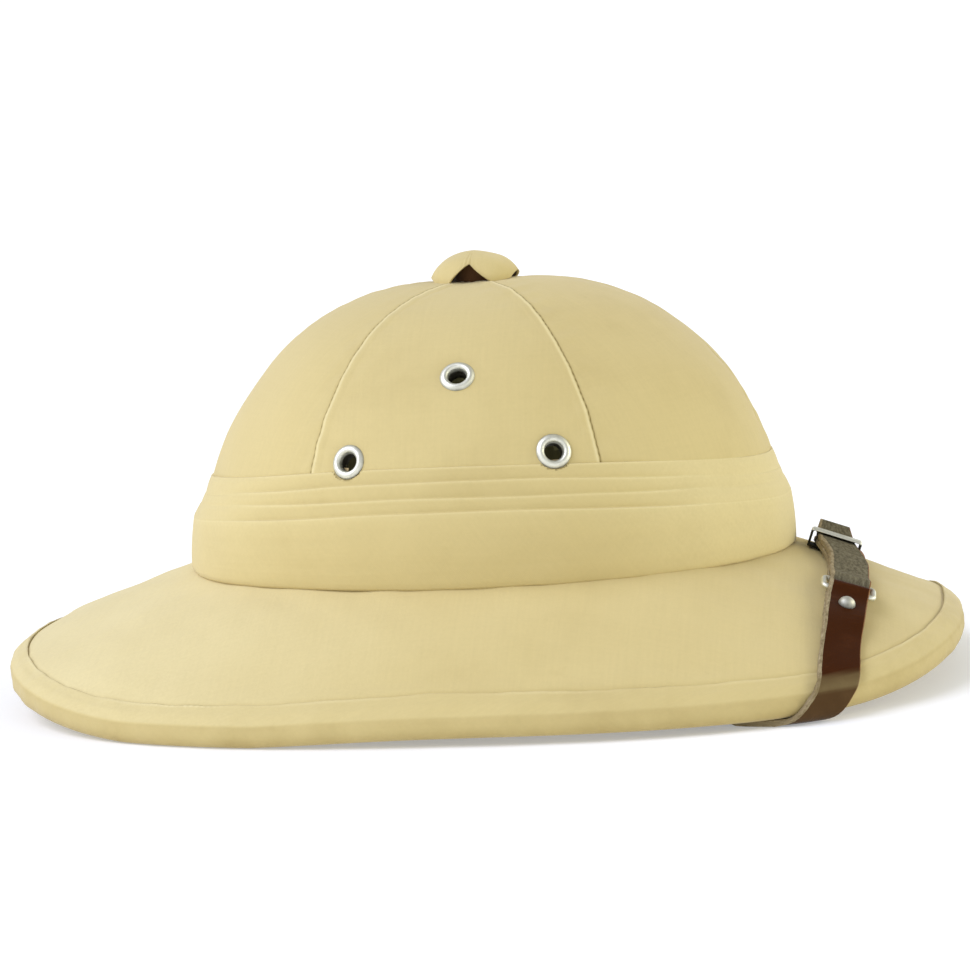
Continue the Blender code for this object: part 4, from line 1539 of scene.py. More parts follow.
@dataclass(frozen=True)
class Cap:
    """The cloth-covered ventilator button, with arches in its lower edge."""

    radius: float = 0.0163
    height: float = 0.0123
    wall: float = 0.0012
    # Outline from the lower edge to the top, as shares of radius and height.
    outline: Pairs = (
        (1.0, 0.0), (0.99, 0.17), (0.91, 0.38), (0.78, 0.59), (0.61, 0.77), (0.37, 0.92),
        (0.15, 0.985), (0.0, 1.0),
    )
    arches: int = 4
    arch_width: float = 0.0156
    arch_height: float = 0.0071
    # Share of that height that the arches at the front and the rear of the hat have.
    low_arch: float = 0.3
    core_radius: float = 0.0080
    core_height: float = 0.0070
    core_sunk: float = 0.0010
    core_sides: int = 64
    columns: int = 400
    rows: int = 44
    # Share of the way to the top that its rows go.
    crest: float = 0.999
    # The lip of its edge: how far it hangs down, and how far it stands out in walls.
    lip_drop: float = 0.0003
    lip_out: float = 0.10
    uneven: Wander = Wander(0.012, 0.00012, 81)
    # Depth the unevenness goes away from, under the top of the crown.
    heart: float = 0.004
    # The cloth is gathered a little over each arch: over the height from its edge, and pleats
    # in one turn.
    gathers: Peak = Peak(0.00013, 0.0015, 0.0035)
    pleats: int = 50
    # Over the height from its edge: darker along its lower edge, most over the arches.
    edge_darkening: Peak = Peak(0.30, 0.0, 0.0012)
    # Painted shade over the whole inside.
    inside_shade: float = 0.5

    def arch(self, angle: Array) -> Array:
        """Finds how far the lower edge is raised.

        Args:
            angle: Angle round the button.

        Returns:
            The heights of its arches.
        """
        step = FULL_TURN / self.arches
        turn = (angle + step / 2) % step - step / 2
        across = np.sin(turn) * self.radius / (self.arch_width / 2)
        round_side = np.clip(1 - np.abs(across) ** 1.7, 0, 1) ** 0.8
        plain_side = np.clip(1 - np.abs(across), 0, 1) ** 0.9
        low = blend(1.0, self.low_arch, np.cos(angle) ** 2)
        return self.arch_height * low * np.where(across < 0, round_side, plain_side)

    def line(self, angle: Array, share: Array, wall: float) -> Array:
        """Finds points of the dome.

        Args:
            angle: Angle round the button.
            share: Share of the way from its lower edge to its top.
            wall: Distance inward from its outside.

        Returns:
            The points.
        """
        top = FORM.crown(QUARTER_TURN, 0.0)
        seat = FORM.crown(FORM.rise_at_reach(self.radius, angle), angle)[..., 2] + FORM.gap
        crest = top[2] + self.height - wall
        shape = rounded(np.array(self.outline), 3)
        run = run_length(shape * np.array([self.radius, self.height]))
        raised = np.clip(self.arch(angle) / (crest - seat), 0, 0.9)
        start = np.interp(raised, shape[:, 1], run)
        where = blend(start, run[-1], share)
        reach = (self.radius - wall) * np.interp(where, run, shape[:, 0])
        height = blend(seat, crest, np.interp(where, run, shape[:, 1]))
        x = top[0] + reach * np.cos(angle)
        y = top[1] + reach * np.sin(angle)
        return np.stack([x, y, height], axis=-1)

    def mesh(self) -> Object:
        """Makes the button.

        Returns:
            Its object, with slot 0 outside and over its edge, and slot 1 for the inside and the
            core.
        """
        angle = around_hat(self.columns)[None, :]
        share = self.crest * (1 - np.cos(np.linspace(0, pi, self.rows)))[:, None] / 2
        outer = self.line(angle, share[::-1], 0.0)
        inner = self.line(angle, share, self.wall)
        lip = (outer[-1:] + inner[:1]) / 2 - self.lip_drop * UP
        raised = self.arch(angle) / self.arch_height
        height = np.clip(outer[..., 2] - outer[-1:, :, 2], 0, None)
        tuck = self.gathers.at(height) * np.sin(angle * self.pleats) * raised**2
        top = FORM.crown(QUARTER_TURN, 0.0)
        away = unit(outer - (top - self.heart * UP))
        outer = outer + away * (self.uneven.at(outer) + tuck)[..., None]
        edge = outer[-1:] + (outer[-1:] - inner[:1]) * self.lip_out
        hem = rounded(np.concatenate([edge, lip, inner[:1]]), 2)
        grid = np.concatenate([outer, hem, inner[1:]])
        # Painted shade inside; outside, darker along the lower edge.
        grime = np.full(grid.shape[:2], self.inside_shade)
        grime[: len(outer)] = self.edge_darkening.at(height) * (0.4 + raised)
        slots = (np.arange(len(grid)) >= len(outer) + len(hem) - 2).astype(int)
        dome = Patch(grid, closed(grid)[..., :2], loop_columns=True, flip=True)
        dome.grime, dome.slots = grime, slots
        sunk, tall = (self.core_radius, -self.core_sunk), (self.core_radius, self.core_height)
        core = turned(top, UP, np.array([sunk, tall]), self.core_sides, False)
        core.slots = np.ones(2, int)
        return mesh_object("vent_cap", [dome, core])

    def dress(self, button: Object, finish: Material, inside: Material) -> None:
        """Gives the button its cloth and its dark inside, darkened further by painted shade, and
        puts it in the frame.
        """
        place(button, [finish, inside], "cloth", "top_cap")


# ---- metal


def turned(centre: Array, axis: Array, section: Array, sides: int, loop: bool) -> Patch:
    """Turns a section about an axis.

    Args:
        centre: Where the axis starts.
        axis: Its direction.
        section: Rows of distance from the axis and height along it.
        sides: How many sides the turned surface has.
        loop: Whether the section closes on itself.

    Returns:
        The surface.
    """
    axis = unit(axis)
    x = unit(AHEAD - axis * (AHEAD @ axis))
    y = np.cross(axis, x)
    turn = around_hat(sides)[:, None]
    reach, height = section[:, None, :1], section[:, None, 1:]
    points = centre + (x * np.cos(turn) + y * np.sin(turn)) * reach + axis * height
    widest = FULL_TURN * section[:, 0].max()
    uv = plain_uv(len(section) + loop, sides + 1, widest, run_length(section)[-1])
    return Patch(points, uv, loop_rows=loop, loop_columns=True)


@dataclass(frozen=True)
class Eyelets:
    """The six nickel eyelets: rolled flange outside, barrel, clinched edge inside."""

    sides: int = 72
    sunk: float = 0.0002
    section: Pairs = (
        (0.0031, -0.0049), (0.0031, -0.0020), (0.0031, -0.0006), (0.0033, 0.0005),
        (0.0039, 0.0012), (0.0047, 0.0013), (0.0054, 0.0009), (0.0060, 0.0003),
        (0.0061, -0.0001), (0.0055, -0.0003), (0.0037, -0.0003), (0.0037, -0.0042),
        (0.0058, -0.0043), (0.0060, -0.0046), (0.0056, -0.0051), (0.0040, -0.0053),
    )
    # Painted shade down the barrel, over the height along the axis, and round the flange's outer
    # edge, over the distance from it.
    barrel_shade: Slope = Slope(0.95, -0.0002, -0.0014)
    rim_shade: Slope = Slope(0.35, 0.0054, 0.0060)

    def mesh(self) -> list[Object]:
        """Makes the eyelets.

        Returns:
            Their objects, in the order of EYELETS.
        """
        line = rounded(np.array(self.section + self.section[:1]), 2)[:-1]
        dull_and_shade = self.barrel_shade.at(line[:, 1:]) + self.rim_shade.at(line[:, :1])
        made = []
        for eyelet in EYELETS:
            seat = eyelet.centre - eyelet.axis * self.sunk
            patch = turned(seat, eyelet.axis, line, self.sides, True)
            # Painted shade in the hole and round the flange.
            patch.grime = np.repeat(dull_and_shade, self.sides, axis=1)
            made.append(mesh_object(eyelet.name + "_ring", [patch]))
        return made

    def dress(self, rings: list[Object], finish: Material) -> None:
        """Gives the eyelets their metal and puts them in the frame."""
        for ring, eyelet in zip(rings, EYELETS):
            place(ring, [finish], "nickel", eyelet.name)


# ---- chin strap


@dataclass(frozen=True)
class StrapPath:
    """Where the chin strap runs over the brim, and round its rim to the posts."""

    leather: float = 0.0020
    width: float = 0.0142
    # The strap's line in front of the crown's middle, and how far it is pulled back at y = 0.
    line_x: float = 0.1302
    pull: float = 0.0056
    pull_spread: float = 0.0145
    # On the left the pull grows at this rate for a while, and wears off over a longer way.
    pull_growth: float = 0.08
    left_spread: float = 0.042
    lean: float = 0.055
    lean_start: float = 0.052
    # Distance from the middle of the hat, and how far the strap is skewed there.
    turn: Pairs = ((0.060, 0.0), (0.074, 0.20), (0.087, 0.55), (0.096, 0.80))
    # Round the rim: steps along it for each step down, and share of the strap's width.
    slant: float = 0.95
    rim_width: float = 0.91
    under_level: float = 0.008
    post_x: float = 0.0440
    post_y: float = 0.0935
    post_tail: float = 0.007
    post_lift: float = -0.0078
    loop_y: float = -0.0545
    loop_wire: float = 0.0010
    loop_bar: float = 0.0036
    slide_lift: float = 0.0011

    @property
    def lift(self) -> float:
        """Height of the middle of one layer over the cloth."""
        return FORM.gap + self.leather / 2

    @property
    def step(self) -> float:
        """Height from one layer to the next."""
        return self.leather + FORM.gap

    @property
    def fold_radius(self) -> float:
        """Radius of the middle of the leather round a bar of the loop."""
        return self.loop_wire + FORM.gap + self.leather / 2

    def above(self, x: float, y: float, lift: float) -> Array:
        """Finds a point over the brim's cloth.

        Args:
            x, y: Its place in plan.
            lift: Its distance from the cloth.

        Returns:
            The point.
        """
        spot = np.array([x, abs(y), 0.0])

        def behind(angle: Array) -> Array:
            """Returns whether the spot lies behind the upright plane at an angle."""
            rim, out, _, _ = FORM.section(angle)
            return np.cross(spot - rim, out)[2] <= 0

        angle = search(0.0, QUARTER_TURN, behind) * (1 if y >= 0 else -1)
        rim, out, _, _ = FORM.section(angle)
        inward = (rim - np.array([x, y, 0.0])) @ out
        return FORM.brim(angle, inward, lift)

    def x(self, y: float) -> float:
        """Finds where the strap's middle line crosses the brim in plan.

        Args:
            y: Place across the hat.

        Returns:
            The place along the hat.
        """
        spread = self.left_spread if y > 0 else self.pull_spread
        pull = (self.pull + self.pull_growth * max(y, 0.0)) * float(hump(y, 0.0, spread))
        return FORM.centre_x + self.line_x - pull - self.lean * max(abs(y) - self.lean_start, 0.0)

    def brim_axes(self, x: float, y: float) -> tuple[Array, Array]:
        """Stands a frame on the brim, its first axis ahead and its third straight up from it.

        Args:
            x, y: Its place in plan.

        Returns:
            Its axes, in columns, and its foot.
        """
        step = 0.002
        foot = self.above(x, y, 0.0)
        forward = self.above(x + step, y, 0.0) - foot
        left = self.above(x, y + step, 0.0) - foot
        up = unit(np.cross(forward, left))
        ahead = unit(AHEAD - up * (AHEAD @ up))
        return np.stack([ahead, np.cross(up, ahead), up], axis=1), foot

    def over(self, y: float, lift: float, skew: float = 0.0) -> Array:
        """Finds both edges of a strap over the brim.

        Args:
            y: Place across the hat.
            lift: Height of the strap's middle over the cloth.
            skew: How far its front edge goes towards the middle of the hat, per width.

        Returns:
            The rear and the front edge.
        """
        axes, foot = self.brim_axes(self.x(y), y)
        way = skew if y > 0 else -skew
        halves = (-self.width / 2, self.width / 2)
        return np.array([foot + axes @ np.array([half, -half * way, lift]) for half in halves])

    def onto_rim(self, side: int) -> list[Array]:
        """Returns edges from the straight stretch over the brim to its rim."""
        return [self.over(side * away, self.lift, skew) for away, skew in self.turn]

    def rim_line(self, angle: float) -> Rows:
        """Draws the line of the strap's middle round the rim, level at its end.

        Args:
            angle: Angle round the hat.

        Returns:
            Distance out and height, in rows.
        """
        outs, heights = FORM.rim_core(angle)
        away = FORM.cloth + 3 * FORM.gap + self.leather / 2
        outs, heights = offset_rows(outs[:-1], heights[:-1], away)
        return np.append(outs, outs[-1] - self.under_level), np.append(heights, 0.0)

    def round_rim(self, side: int) -> list[Array]:
        """Winds a strap aslant round the rim, and lays it flat under the brim.

        Args:
            side: 1 on the left, -1 on the right.

        Returns:
            Its edges.
        """

        def ahead(turn: Array) -> bool:
            """Returns whether the rim's shoulder lies in front of the strap's line."""
            x, y, _ = FORM.brim(turn, -FORM.shoulder, 0.0)
            return x > self.x(float(y))

        angle, step = float(search(0.0, QUARTER_TURN, ahead)), 0.01
        ends = FORM.rim(np.array([angle + step, angle - step]))
        rate = float(np.linalg.norm(ends[0] - ends[1])) / (2 * step)
        half = self.width / 2 * self.rim_width * hypot(1, self.slant) / rate
        edges = []
        for row in range(len(FORM.rim_section) + 1):
            if row:
                outs, heights = self.rim_line(angle)
                way = hypot(outs[row] - outs[row - 1], heights[row] - heights[row - 1])
                angle += way * self.slant / rate
            pair = []
            for turn in (side * (angle + half), side * (angle - half)):
                outs, heights = self.rim_line(turn)
                point = FORM.place(turn, outs[row], heights[row])
                point[2] = max(point[2], self.leather / 2)
                pair.append(point)
            edges.append(np.array(pair))
        return edges

    def to_post(self, side: int, start: Array) -> list[Array]:
        """Lays the hidden stretch, straight from the rim to its post.

        Args:
            side: 1 on the left, -1 on the right.
            start: The edges it starts from.

        Returns:
            Its edges, from behind the post.
        """
        axes, foot = self.brim_axes(FORM.centre_x + self.post_x, side * self.post_y)
        up = axes[:, 2]
        post = foot + up * self.post_lift
        along = post - start.mean(axis=0)
        along = unit(along - up * (along @ up))
        across = np.cross(up, along) * side * self.width / 2
        reaches = (-self.post_tail, 0.0, self.post_tail)
        return [np.array([post + along * r - across, post + along * r + across]) for r in reaches]

    def round_bar(self, y: float, way: int) -> list[Array]:
        """Folds a strap round a bar of the loop.

        Args:
            y: The bar's place across the hat.
            way: Side of the bar that the fold lies on, 1 or -1.

        Returns:
            Its edges, from the lower layer to the upper one.
        """
        edges, radius = [], self.fold_radius
        for turn in np.radians(range(-90, 91, 15)):
            lift = self.lift + radius + radius * sin(turn)
            edges.append(self.over(y + way * radius * cos(turn), lift))
        return edges


PATH = StrapPath()


def strap_patch(edges: list[Array], shape: Wander) -> Patch:
    """Makes a strap of rounded section between two edge lines.

    Args:
        edges: Both edges of the strap at its stations.
        shape: Unevenness of its surface.

    Returns:
        The strap. Slot 0 is the side towards the section's up, 1 the other side, 2 the cut edge
        at the first of the two edge lines with a little of the worn sides, 3 the other cut edge.
    """
    corner, worn, half = 0.00045, 0.88, PATH.leather / 2
    line = rounded(np.array(edges), 2)
    middle = line.mean(axis=1)
    along = unit(np.gradient(middle, axis=0))
    across = line[:, 1] - line[:, 0]
    wide = np.linalg.norm(across, axis=-1, keepdims=True) / 2
    across = across / (2 * wide)
    up = unit(np.cross(across, along))
    count = 12
    flat = np.concatenate([[-1.0], np.linspace(-worn, worn, count), [1.0]])
    turn = np.linspace(0, QUARTER_TURN, 5)
    lean, drop = corner * np.sin(turn), corner * (1 - np.cos(turn))
    # Round the section: share of the width, distance beyond it, height, and slots.
    sides = (
        (flat, 0.0, half, [2] + [0] * count + [3]),
        (1.0, lean[1:], half - drop[1:], [3] * 4),
        (1.0, lean[:0:-1], drop[:0:-1] - half, [3] * 4),
        (flat[::-1], 0.0, -half, [1] * count + [2] * 2),
        (-1.0, -lean[1:], drop[1:] - half, [2] * 4),
        (-1.0, -lean[:0:-1], half - drop[:0:-1], [2] * 4),
    )
    parts = [np.stack(np.broadcast_arrays(*side[:3])) for side in sides]
    shares, beyond, heights = np.concatenate(parts, axis=1)
    slots = np.concatenate([side[3] for side in sides])
    reach = shares[:, None] * (wide.T - corner) + beyond[:, None]
    points = middle + across * reach[..., None] + up * heights[:, None, None]
    points = points + up * (shape.at(points) * 0.6)[..., None]
    # The first cut edge is frayed.
    fray = Wander(0.0022, 0.00012, shape.seed + 100).at(points)
    fray = (fray * ramp(shares, -0.80, -1.0)[:, None])[..., None]
    points = points + across * fray + up * (fray * 0.8)
    # The ends close on the middle line.
    first, last = (np.broadcast_to(middle[end], (len(points), 1, 3)) for end in (0, -1))
    points = np.concatenate([first, points, last], axis=1)
    way = run_length(middle)
    way = np.concatenate([way[:1] - 0.001, way, way[-1:] + 0.001])
    # The other side takes its grain from elsewhere.
    over = np.append(reach.mean(axis=1) + 0.05 * (heights < 0), reach[0].mean())
    uv = np.stack(np.broadcast_arrays(over[:, None], way), axis=-1)
    return Patch(points, uv, loop_rows=True, slots=slots)


@dataclass(frozen=True)
class ChinStrap:
    """Both leather straps with the loop, the slide, the rivet and the posts."""

    long_uneven: Wander = Wander(0.02, 0.00010, 91)
    short_uneven: Wander = Wander(0.02, 0.00010, 92)
    left_stations: tuple[float, ...] = (0.046, 0.031)
    # Place across the hat, and share of the height at which the slide holds the strap.
    slide_stations: Pairs = ((0.016, 0.0), (0.007, 1.0), (0.0, 1.0), (-0.007, 1.0), (-0.016, 0.0))
    # The free end stands up behind the slide: place across the hat, and height.
    free_end: Pairs = ((0.0054, 0.0), (0.0097, 0.0043))
    # Share of its width that is left at the very end.
    end_width: float = 0.80
    upper_stations: tuple[float, ...] = (-0.043, -0.034, -0.025)
    tail_stations: tuple[float, ...] = (-0.0660, -0.0735)
    # The stretch over it: place across the hat, share of one layer's height, and skew.
    run_stations: tuple[tuple[float, float, float], ...] = (
        (-0.0650, 1.0, 0.0), (-0.0760, 1.0, 0.24), (-0.0865, 0.15, 0.54),
    )
    # Painted reflection on the short strap where it bends over the rim, and a weaker one below
    # that, over the height.
    bend_reflection: Slope = Slope(0.50, 0.0095, 0.0110)
    bend_reflection_top: Slope = Slope(1.0, 0.0152, 0.0138)
    low_reflection: Slope = Slope(0.24, 0.0140, 0.0110)
    loop_half_width: float = 0.0088
    loop_corner: float = 0.0014
    # Half of the slide's section, outside and inside: distance from the middle, and height.
    slide_length: float = 0.0086
    slide_edge: float = 0.0003
    slide_crisp: float = 0.0006
    slide_outside: Pairs = ((0.0095, 0.0003), (0.0095, 0.0064), (0.0088, 0.0070))
    slide_inside: Pairs = ((0.0086, 0.0011), (0.0086, 0.0059), (0.0082, 0.0062))
    # Painted shade: the slide is darkened below its roof, over the height.
    slide_wall_shade: Slope = Slope(1.0, 0.0066, 0.0060)
    rivet_y: float = -0.0690
    rivet_radius: float = 0.0030
    rivet_height: float = 0.0027
    # The rivet is dulled a little all over, and darker towards its rim as painted shade.
    rivet_dull_and_shade: tuple[float, Slope] = (0.20, Slope(0.40, 0.0018, 0.0030))
    # Sections of the rivet under its dome, and of a post: distance from the axis, and height.
    rivet_foot: Pairs = (
        (0.0028, -0.0004), (0.0010, -0.0005), (0.0010, -0.0040), (0.0001, -0.0040),
    )
    post_line: Pairs = (
        (0.0001, -0.0108), (0.0026, -0.0106), (0.0040, -0.0098), (0.0040, -0.0092),
        (0.0020, -0.0090), (0.0020, -0.0063), (0.0001, -0.0062),
    )

    def long_strap(self) -> Object:
        """Makes the strap from the left post, through the slide and back from the loop.

        Returns:
            Its object.
        """
        low, raised = PATH.lift, PATH.slide_lift
        upper = low + PATH.step
        rim = PATH.round_rim(1)
        edges = PATH.to_post(1, rim[-1])[::-1] + rim[::-1] + PATH.onto_rim(1)[::-1]
        edges += [PATH.over(y, low) for y in self.left_stations]
        edges += [PATH.over(y, low + s * raised) for y, s in self.slide_stations]
        edges += [PATH.over(y, low) for y in reversed(self.upper_stations)]
        edges += PATH.round_bar(PATH.loop_y + PATH.loop_bar, -1)
        edges += [PATH.over(y, upper) for y in self.upper_stations]
        edges += [PATH.over(y, upper + s * raised) for y, s in reversed(self.slide_stations[2:])]
        edges += [PATH.over(y, upper + raised + lift) for y, lift in self.free_end]
        edges[-1][1] = blend(edges[-1][0], edges[-1][1], self.end_width)
        return mesh_object("chin_strap_long", [strap_patch(edges, self.long_uneven)])

    def short_strap(self) -> Object:
        """Makes the strap from the right post to the loop and back under itself.

        Returns:
            Its object.
        """
        rim = PATH.round_rim(-1)
        edges = PATH.to_post(-1, rim[-1])[::-1] + rim[::-1] + PATH.onto_rim(-1)[-1:]
        for y, share, skew in reversed(self.run_stations):
            edges.append(PATH.over(y, PATH.lift + share * PATH.step, skew))
        edges += PATH.round_bar(PATH.loop_y - PATH.loop_bar, 1)[::-1]
        edges += [PATH.over(y, PATH.lift) for y in self.tail_stations]
        patch = strap_patch(edges, self.short_uneven)
        height = patch.points[..., 2]
        # Painted reflection where the strap bends over the rim.
        bend = self.bend_reflection.at(height) * self.bend_reflection_top.at(height)
        patch.grime = bend + self.low_reflection.at(height)
        return mesh_object("chin_strap_short", [patch])

    def loop(self) -> Object:
        """Makes the wire loop between the straps' folds.

        Returns:
            Its object.
        """
        axes, foot = PATH.brim_axes(PATH.x(PATH.loop_y), PATH.loop_y)
        origin = foot + axes[:, 2] * (PATH.lift + PATH.fold_radius)
        wide, long = self.loop_half_width - self.loop_corner, PATH.loop_bar - self.loop_corner
        quarter = np.repeat(range(4), 9)
        turn = np.radians(90 * quarter + np.tile(np.linspace(0, 90, 9), 4))
        cx = wide * np.array([1, -1, -1, 1])[quarter]
        cy = long * np.array([1, 1, -1, -1])[quarter]
        ring = around_hat(24)[:, None]
        reach = self.loop_corner + PATH.loop_wire * np.cos(ring)
        x, y = cx + np.cos(turn) * reach, cy + np.sin(turn) * reach
        grid = np.broadcast_arrays(x, y, PATH.loop_wire * np.sin(ring))
        points = origin + np.stack(grid, axis=-1) @ axes.T
        uv = plain_uv(25, len(turn) + 1, 0.05, 0.006)[..., ::-1]
        return mesh_object("wire_loop", [Patch(points, uv, loop_rows=True, loop_columns=True)])

    def hoop(self, half: Array) -> Array:
        """Closes half a section of the slide, with crisp corners.

        Args:
            half: Its right half, from below.

        Returns:
            The whole section, from the middle of its underside.
        """
        line = np.concatenate([half, half[::-1] * np.array([-1, 1])])
        start = (line[:1] + line[-1:]) / 2
        return rounded(crisp(np.concatenate([start, line, start]), self.slide_crisp), 2)[:-1]

    def slide(self) -> Object:
        """Makes the pressed slide: a sleeve with a bevelled roof and turned edges.

        Returns:
            Its object.
        """
        axes, foot = PATH.brim_axes(PATH.x(0.0), 0.0)
        outside, inside = (
            self.hoop(np.array(half)) for half in (self.slide_outside, self.slide_inside)
        )
        lip, end = (outside + inside) / 2, self.slide_length / 2
        edge = end - self.slide_edge
        rows = ((outside, -edge), (outside, edge), (lip, end), (inside, edge), (inside, -edge))
        rows += ((lip, -end), (outside, -edge))
        grid = rounded(np.stack([np.insert(line, 1, y, axis=1) for line, y in rows]), 2)[:-1]
        uv = plain_uv(len(grid) + 1, grid.shape[1] + 1, 0.05, 0.02)[..., ::-1]
        patch = Patch(foot + grid @ axes.T, uv, loop_rows=True, loop_columns=True)
        # Painted shade on the walls below the bright roof.
        patch.grime = self.slide_wall_shade.at(grid[..., 2])
        return mesh_object("pressed_slide", [patch])

    def rivet(self) -> Object:
        """Makes the dome-headed rivet of the short strap.

        Returns:
            Its object.
        """
        axes, foot = PATH.brim_axes(PATH.x(self.rivet_y), self.rivet_y)
        origin = foot + axes[:, 2] * (PATH.lift + PATH.step + PATH.leather / 2)
        turn = np.linspace(0.02, QUARTER_TURN, 14)
        dome = (self.rivet_radius * np.sin(turn), self.rivet_height * np.cos(turn) - 0.0001)
        line = np.concatenate([np.stack(dome, axis=1), self.rivet_foot])
        patch = turned(origin, axes[:, 2], line, 48, False)
        dull_and_shade = self.rivet_dull_and_shade[0] + self.rivet_dull_and_shade[1].at(line[:, :1])
        patch.grime = np.repeat(dull_and_shade, patch.points.shape[1], axis=1)
        return mesh_object("dome_rivet", [patch])

    def post(self, side: int, hand: str) -> Object:
        """Makes a plain headed post under the brim.

        Args:
            side: 1 on the left, -1 on the right.
            hand: The side's name.

        Returns:
            Its object.
        """
        axes, foot = PATH.brim_axes(FORM.centre_x + PATH.post_x, side * PATH.post_y)
        patch = turned(foot, axes[:, 2], rounded(np.array(self.post_line), 2), 40, False)
        return mesh_object(f"post_{hand}", [patch])

    def dress(self, leathers: dict[Side, Material], metal: Material) -> None:
        """Makes the pieces, gives them leather and metal and puts them in the frame.

        Args:
            leathers: The finish of each side of the leather.
            metal: The finish of the metal pieces.
        """
        edges = (Side.CUT, Side.EDGE)
        # The long strap starts with its polished side down in its section, the short one up.
        straps = (
            (self.long_strap(), "strap_long", (Side.FLESH, Side.GRAIN, *edges)),
            (self.short_strap(), "strap_short", (Side.GRAIN, Side.FLESH, *edges)),
        )
        for strap, node, sides in straps:
            place(strap, [leathers[side] for side in sides], "strap_leather", node)
        pieces = (
            (self.loop(), "strap_loop"),
            (self.slide(), "slide_buckle"),
            (self.rivet(), "strap_rivet"),
            (self.post(-1, "right"), "strap_post_right"),
            (self.post(1, "left"), "strap_post_left"),
        )
        for piece, node in pieces:
            place(piece, [metal], "nickel", node)


# ---- studio


@dataclass(frozen=True)
class Lamp:
    """A wide soft light from far away.

    Attributes:
        name: Its name.
        azimuth: Direction that it comes from, in degrees from +X towards +Y.
        elevation, spread: Its height over the floor and how wide it is, in degrees.
        strength, colour: Its strength, and its colour, linear.
    """

    name: str
    azimuth: float
    elevation: float
    strength: float
    spread: float
    colour: Colour = (1.0, 1.0, 1.0)

    def hang(self) -> None:
        """Adds the light to the scene, turned towards the hat."""
        data = bpy.data.lights.new(self.name, "SUN")
        data.energy = self.strength
        data.angle = radians(self.spread)
        data.color = self.colour
        lamp = bpy.data.objects.new(self.name, data)
        bpy.context.scene.collection.objects.link(lamp)
        turn, rise = radians(self.azimuth), radians(self.elevation)
        way = Vector((cos(turn) * cos(rise), sin(turn) * cos(rise), sin(rise)))
        lamp.rotation_euler = way.to_track_quat("Z", "Y").to_euler()


@dataclass(frozen=True)
class Studio:
    """Floor, light and camera.

    Attributes:
        target: The point of the hat that the camera is turned round, in metres.
        view, distance: Direction and distance from there to the camera.
        right, up, roll: The camera's right and up, and the turn that rolls them, in radians.
        lens, sensor, shift: The lens for the sensor's width, and the picture's shift in widths.
        sky, sky_rise: Strength of the surrounding light, low and high, and sines of the heights.
        floor, floor_size, floor_drop: The floor's colour, width and depth under the hat.
        glow, glow_colour: Strength and colour of the light that comes up through it.
        lamps: The lights.
    """

    target: tuple[float, float, float] = (0.00355, 0.0, 0.0455)
    view: tuple[float, float, float] = (0.15177332, -0.98043839, 0.12532125)
    right: tuple[float, float, float] = (0.98822938, 0.15297938, 0.0)
    up: tuple[float, float, float] = (-0.01917157, 0.12384614, 0.99211622)
    distance: float = 0.984217
    roll: float = 0.0537858
    lens: float = 98.08303
    sensor: float = 36.0
    shift: Pair = (-0.0096626, 0.0666347)
    sky: Pair = (1.03, 0.45)
    sky_rise: Pair = (0.20, 0.55)
    floor: Colour = (0.78, 0.775, 0.765)
    floor_size: float = 60.0
    floor_drop: float = 0.0002
    glow_colour: Colour = (0.92, 0.96, 1.0)
    glow: float = 0.31
    lamps: tuple[Lamp, ...] = (
        Lamp("key", 210.0, 45.0, 1.85, 50.0, (0.97, 1.0, 1.22)),
        Lamp("side", 15.0, 10.0, 1.45, 50.0, (1.04, 1.0, 0.75)),
    )

    def lay_floor(self) -> None:
        """Adds the floor, which glows a little."""
        bpy.ops.mesh.primitive_plane_add(size=self.floor_size, location=(0, 0, -self.floor_drop))
        floor = bpy.context.object
        floor.name = "floor"
        paper = Graph("floor").close(
            Base_Color=self.floor,
            Roughness=0.8,
            Emission_Color=self.glow_colour,
            Emission_Strength=self.glow,
        )
        floor.data.materials.append(paper)

    def light(self) -> None:
        """Adds the surrounding light and the lamps."""
        g = Graph("studio", world=True)
        rise = g.parts(g.node("TexCoord", out="Generated"))[2]
        strength = rise.ramp(*self.sky_rise, *self.sky)
        bpy.context.scene.world = g.close(Color=(1.0, 1.0, 1.0), Strength=strength)
        for lamp in self.lamps:
            lamp.hang()

    def aim_camera(self) -> None:
        """Adds the camera and aims it at the hat."""
        data = bpy.data.cameras.new("camera")
        data.sensor_fit = "HORIZONTAL"
        data.sensor_width = self.sensor
        data.lens = self.lens
        data.shift_x, data.shift_y = self.shift
        camera = bpy.data.objects.new("camera", data)
        right, up, back = Vector(self.right), Vector(self.up), Vector(self.view)
        x = right * cos(self.roll) - up * sin(self.roll)
        y = right * sin(self.roll) + up * cos(self.roll)
        turn = Matrix((x, y, back)).transposed().to_4x4()
        spot = Vector(self.target) + back * self.distance
        camera.matrix_world = Matrix.Translation(spot) @ turn
        scene = bpy.context.scene
        scene.collection.objects.link(camera)
        scene.camera = camera
        scene.view_settings.view_transform = "Standard"

    def build(self) -> None:
        """Sets up the whole studio."""
        self.lay_floor()
        self.light()
        self.aim_camera()
        log.info("studio ready")


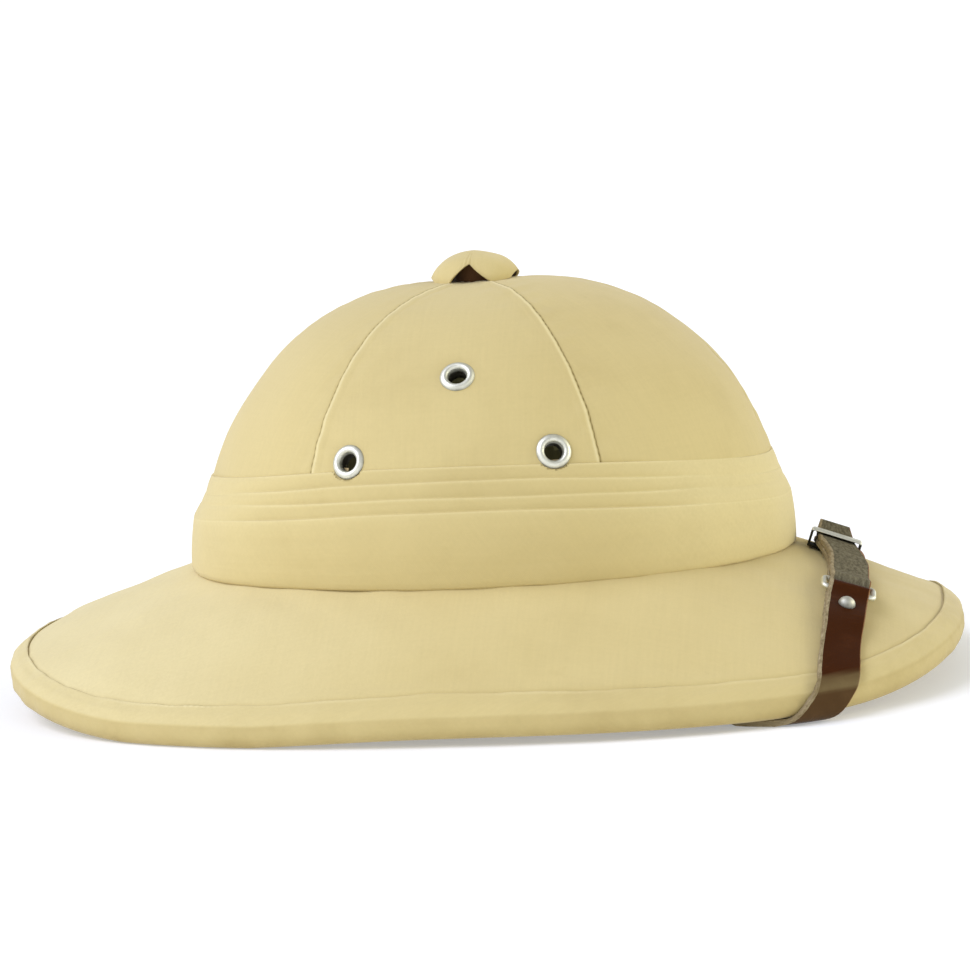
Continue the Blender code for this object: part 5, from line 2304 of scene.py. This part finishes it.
@dataclass
class PithHelmet:
    """The whole hat."""

    crown: Crown = field(default_factory=Crown)
    shell: Shell = field(default_factory=Shell)
    brim: Brim = field(default_factory=Brim)
    puggaree: Puggaree = field(default_factory=Puggaree)
    cap: Cap = field(default_factory=Cap)
    eyelets: Eyelets = field(default_factory=Eyelets)
    strap: ChinStrap = field(default_factory=ChinStrap)
    cloths: tuple[Cloth, ...] = (
        Cloth("cloth_crown"),
        Cloth("cloth_brim"),
        Cloth("cloth_binding", lay=Lay.BIAS, wear=1.3),
        Cloth("cloth_band", lay=Lay.BIAS, slub=0.8, crease=1.0),
        Cloth("cloth_cap"),
        Cloth("cloth_inside", (0.12, 0.055, 0.020), (0.06, 0.025, 0.010), (0.25, 0.14, 0.06)),
    )
    board: Moulded = Moulded()
    # Dark olive board inside the crown: painted shade for the hat's dark inside.
    shaded_inner_board: Moulded = Moulded("moulded_inside", (0.150, 0.140, 0.060), (0.080, 0.075, 0.030))
    metal: Nickel = Nickel()
    leathers: tuple[Leather, ...] = (
        Leather(Side.GRAIN, (0.045, 0.0115, 0.0018), (0.072, 0.020, 0.004), 0.22, 0.00005, 0.06),
        Leather(Side.FLESH, (0.060, 0.050, 0.030), (0.27, 0.245, 0.155), 0.90, 0.00030, 0.20),
        Leather(Side.CUT, (0.17, 0.125, 0.060), (0.52, 0.44, 0.28), 0.85, 0.00030, 0.20),
        Leather(Side.EDGE, (0.10, 0.035, 0.010), (0.36, 0.16, 0.045), 0.60, 0.00015, 0.35),
    )

    def build(self) -> None:
        """Makes the finishes, then makes and dresses every piece."""
        cloths = {cloth.name.removeprefix("cloth_"): cloth.material() for cloth in self.cloths}
        leathers = {leather.side: leather.material() for leather in self.leathers}
        board, shaded_inner_board = self.board.material(), self.shaded_inner_board.material()
        metal = self.metal.material()
        self.crown.dress(self.crown.mesh(), cloths["crown"])
        self.shell.dress(self.shell.mesh(), board, shaded_inner_board)
        self.brim.dress(self.brim.cover(), self.brim.binding(), cloths)
        self.puggaree.dress(self.puggaree.mesh(), cloths["band"])
        self.cap.dress(self.cap.mesh(), cloths["cap"], cloths["inside"])
        self.eyelets.dress(self.eyelets.mesh(), metal)
        self.strap.dress(leathers, metal)


def main() -> None:
    """Builds the hat in its studio."""
    logging.basicConfig(level=logging.INFO, format="%(name)s: %(message)s")
    PithHelmet().build()
    Studio().build()


if __name__ == "__main__":
    main()
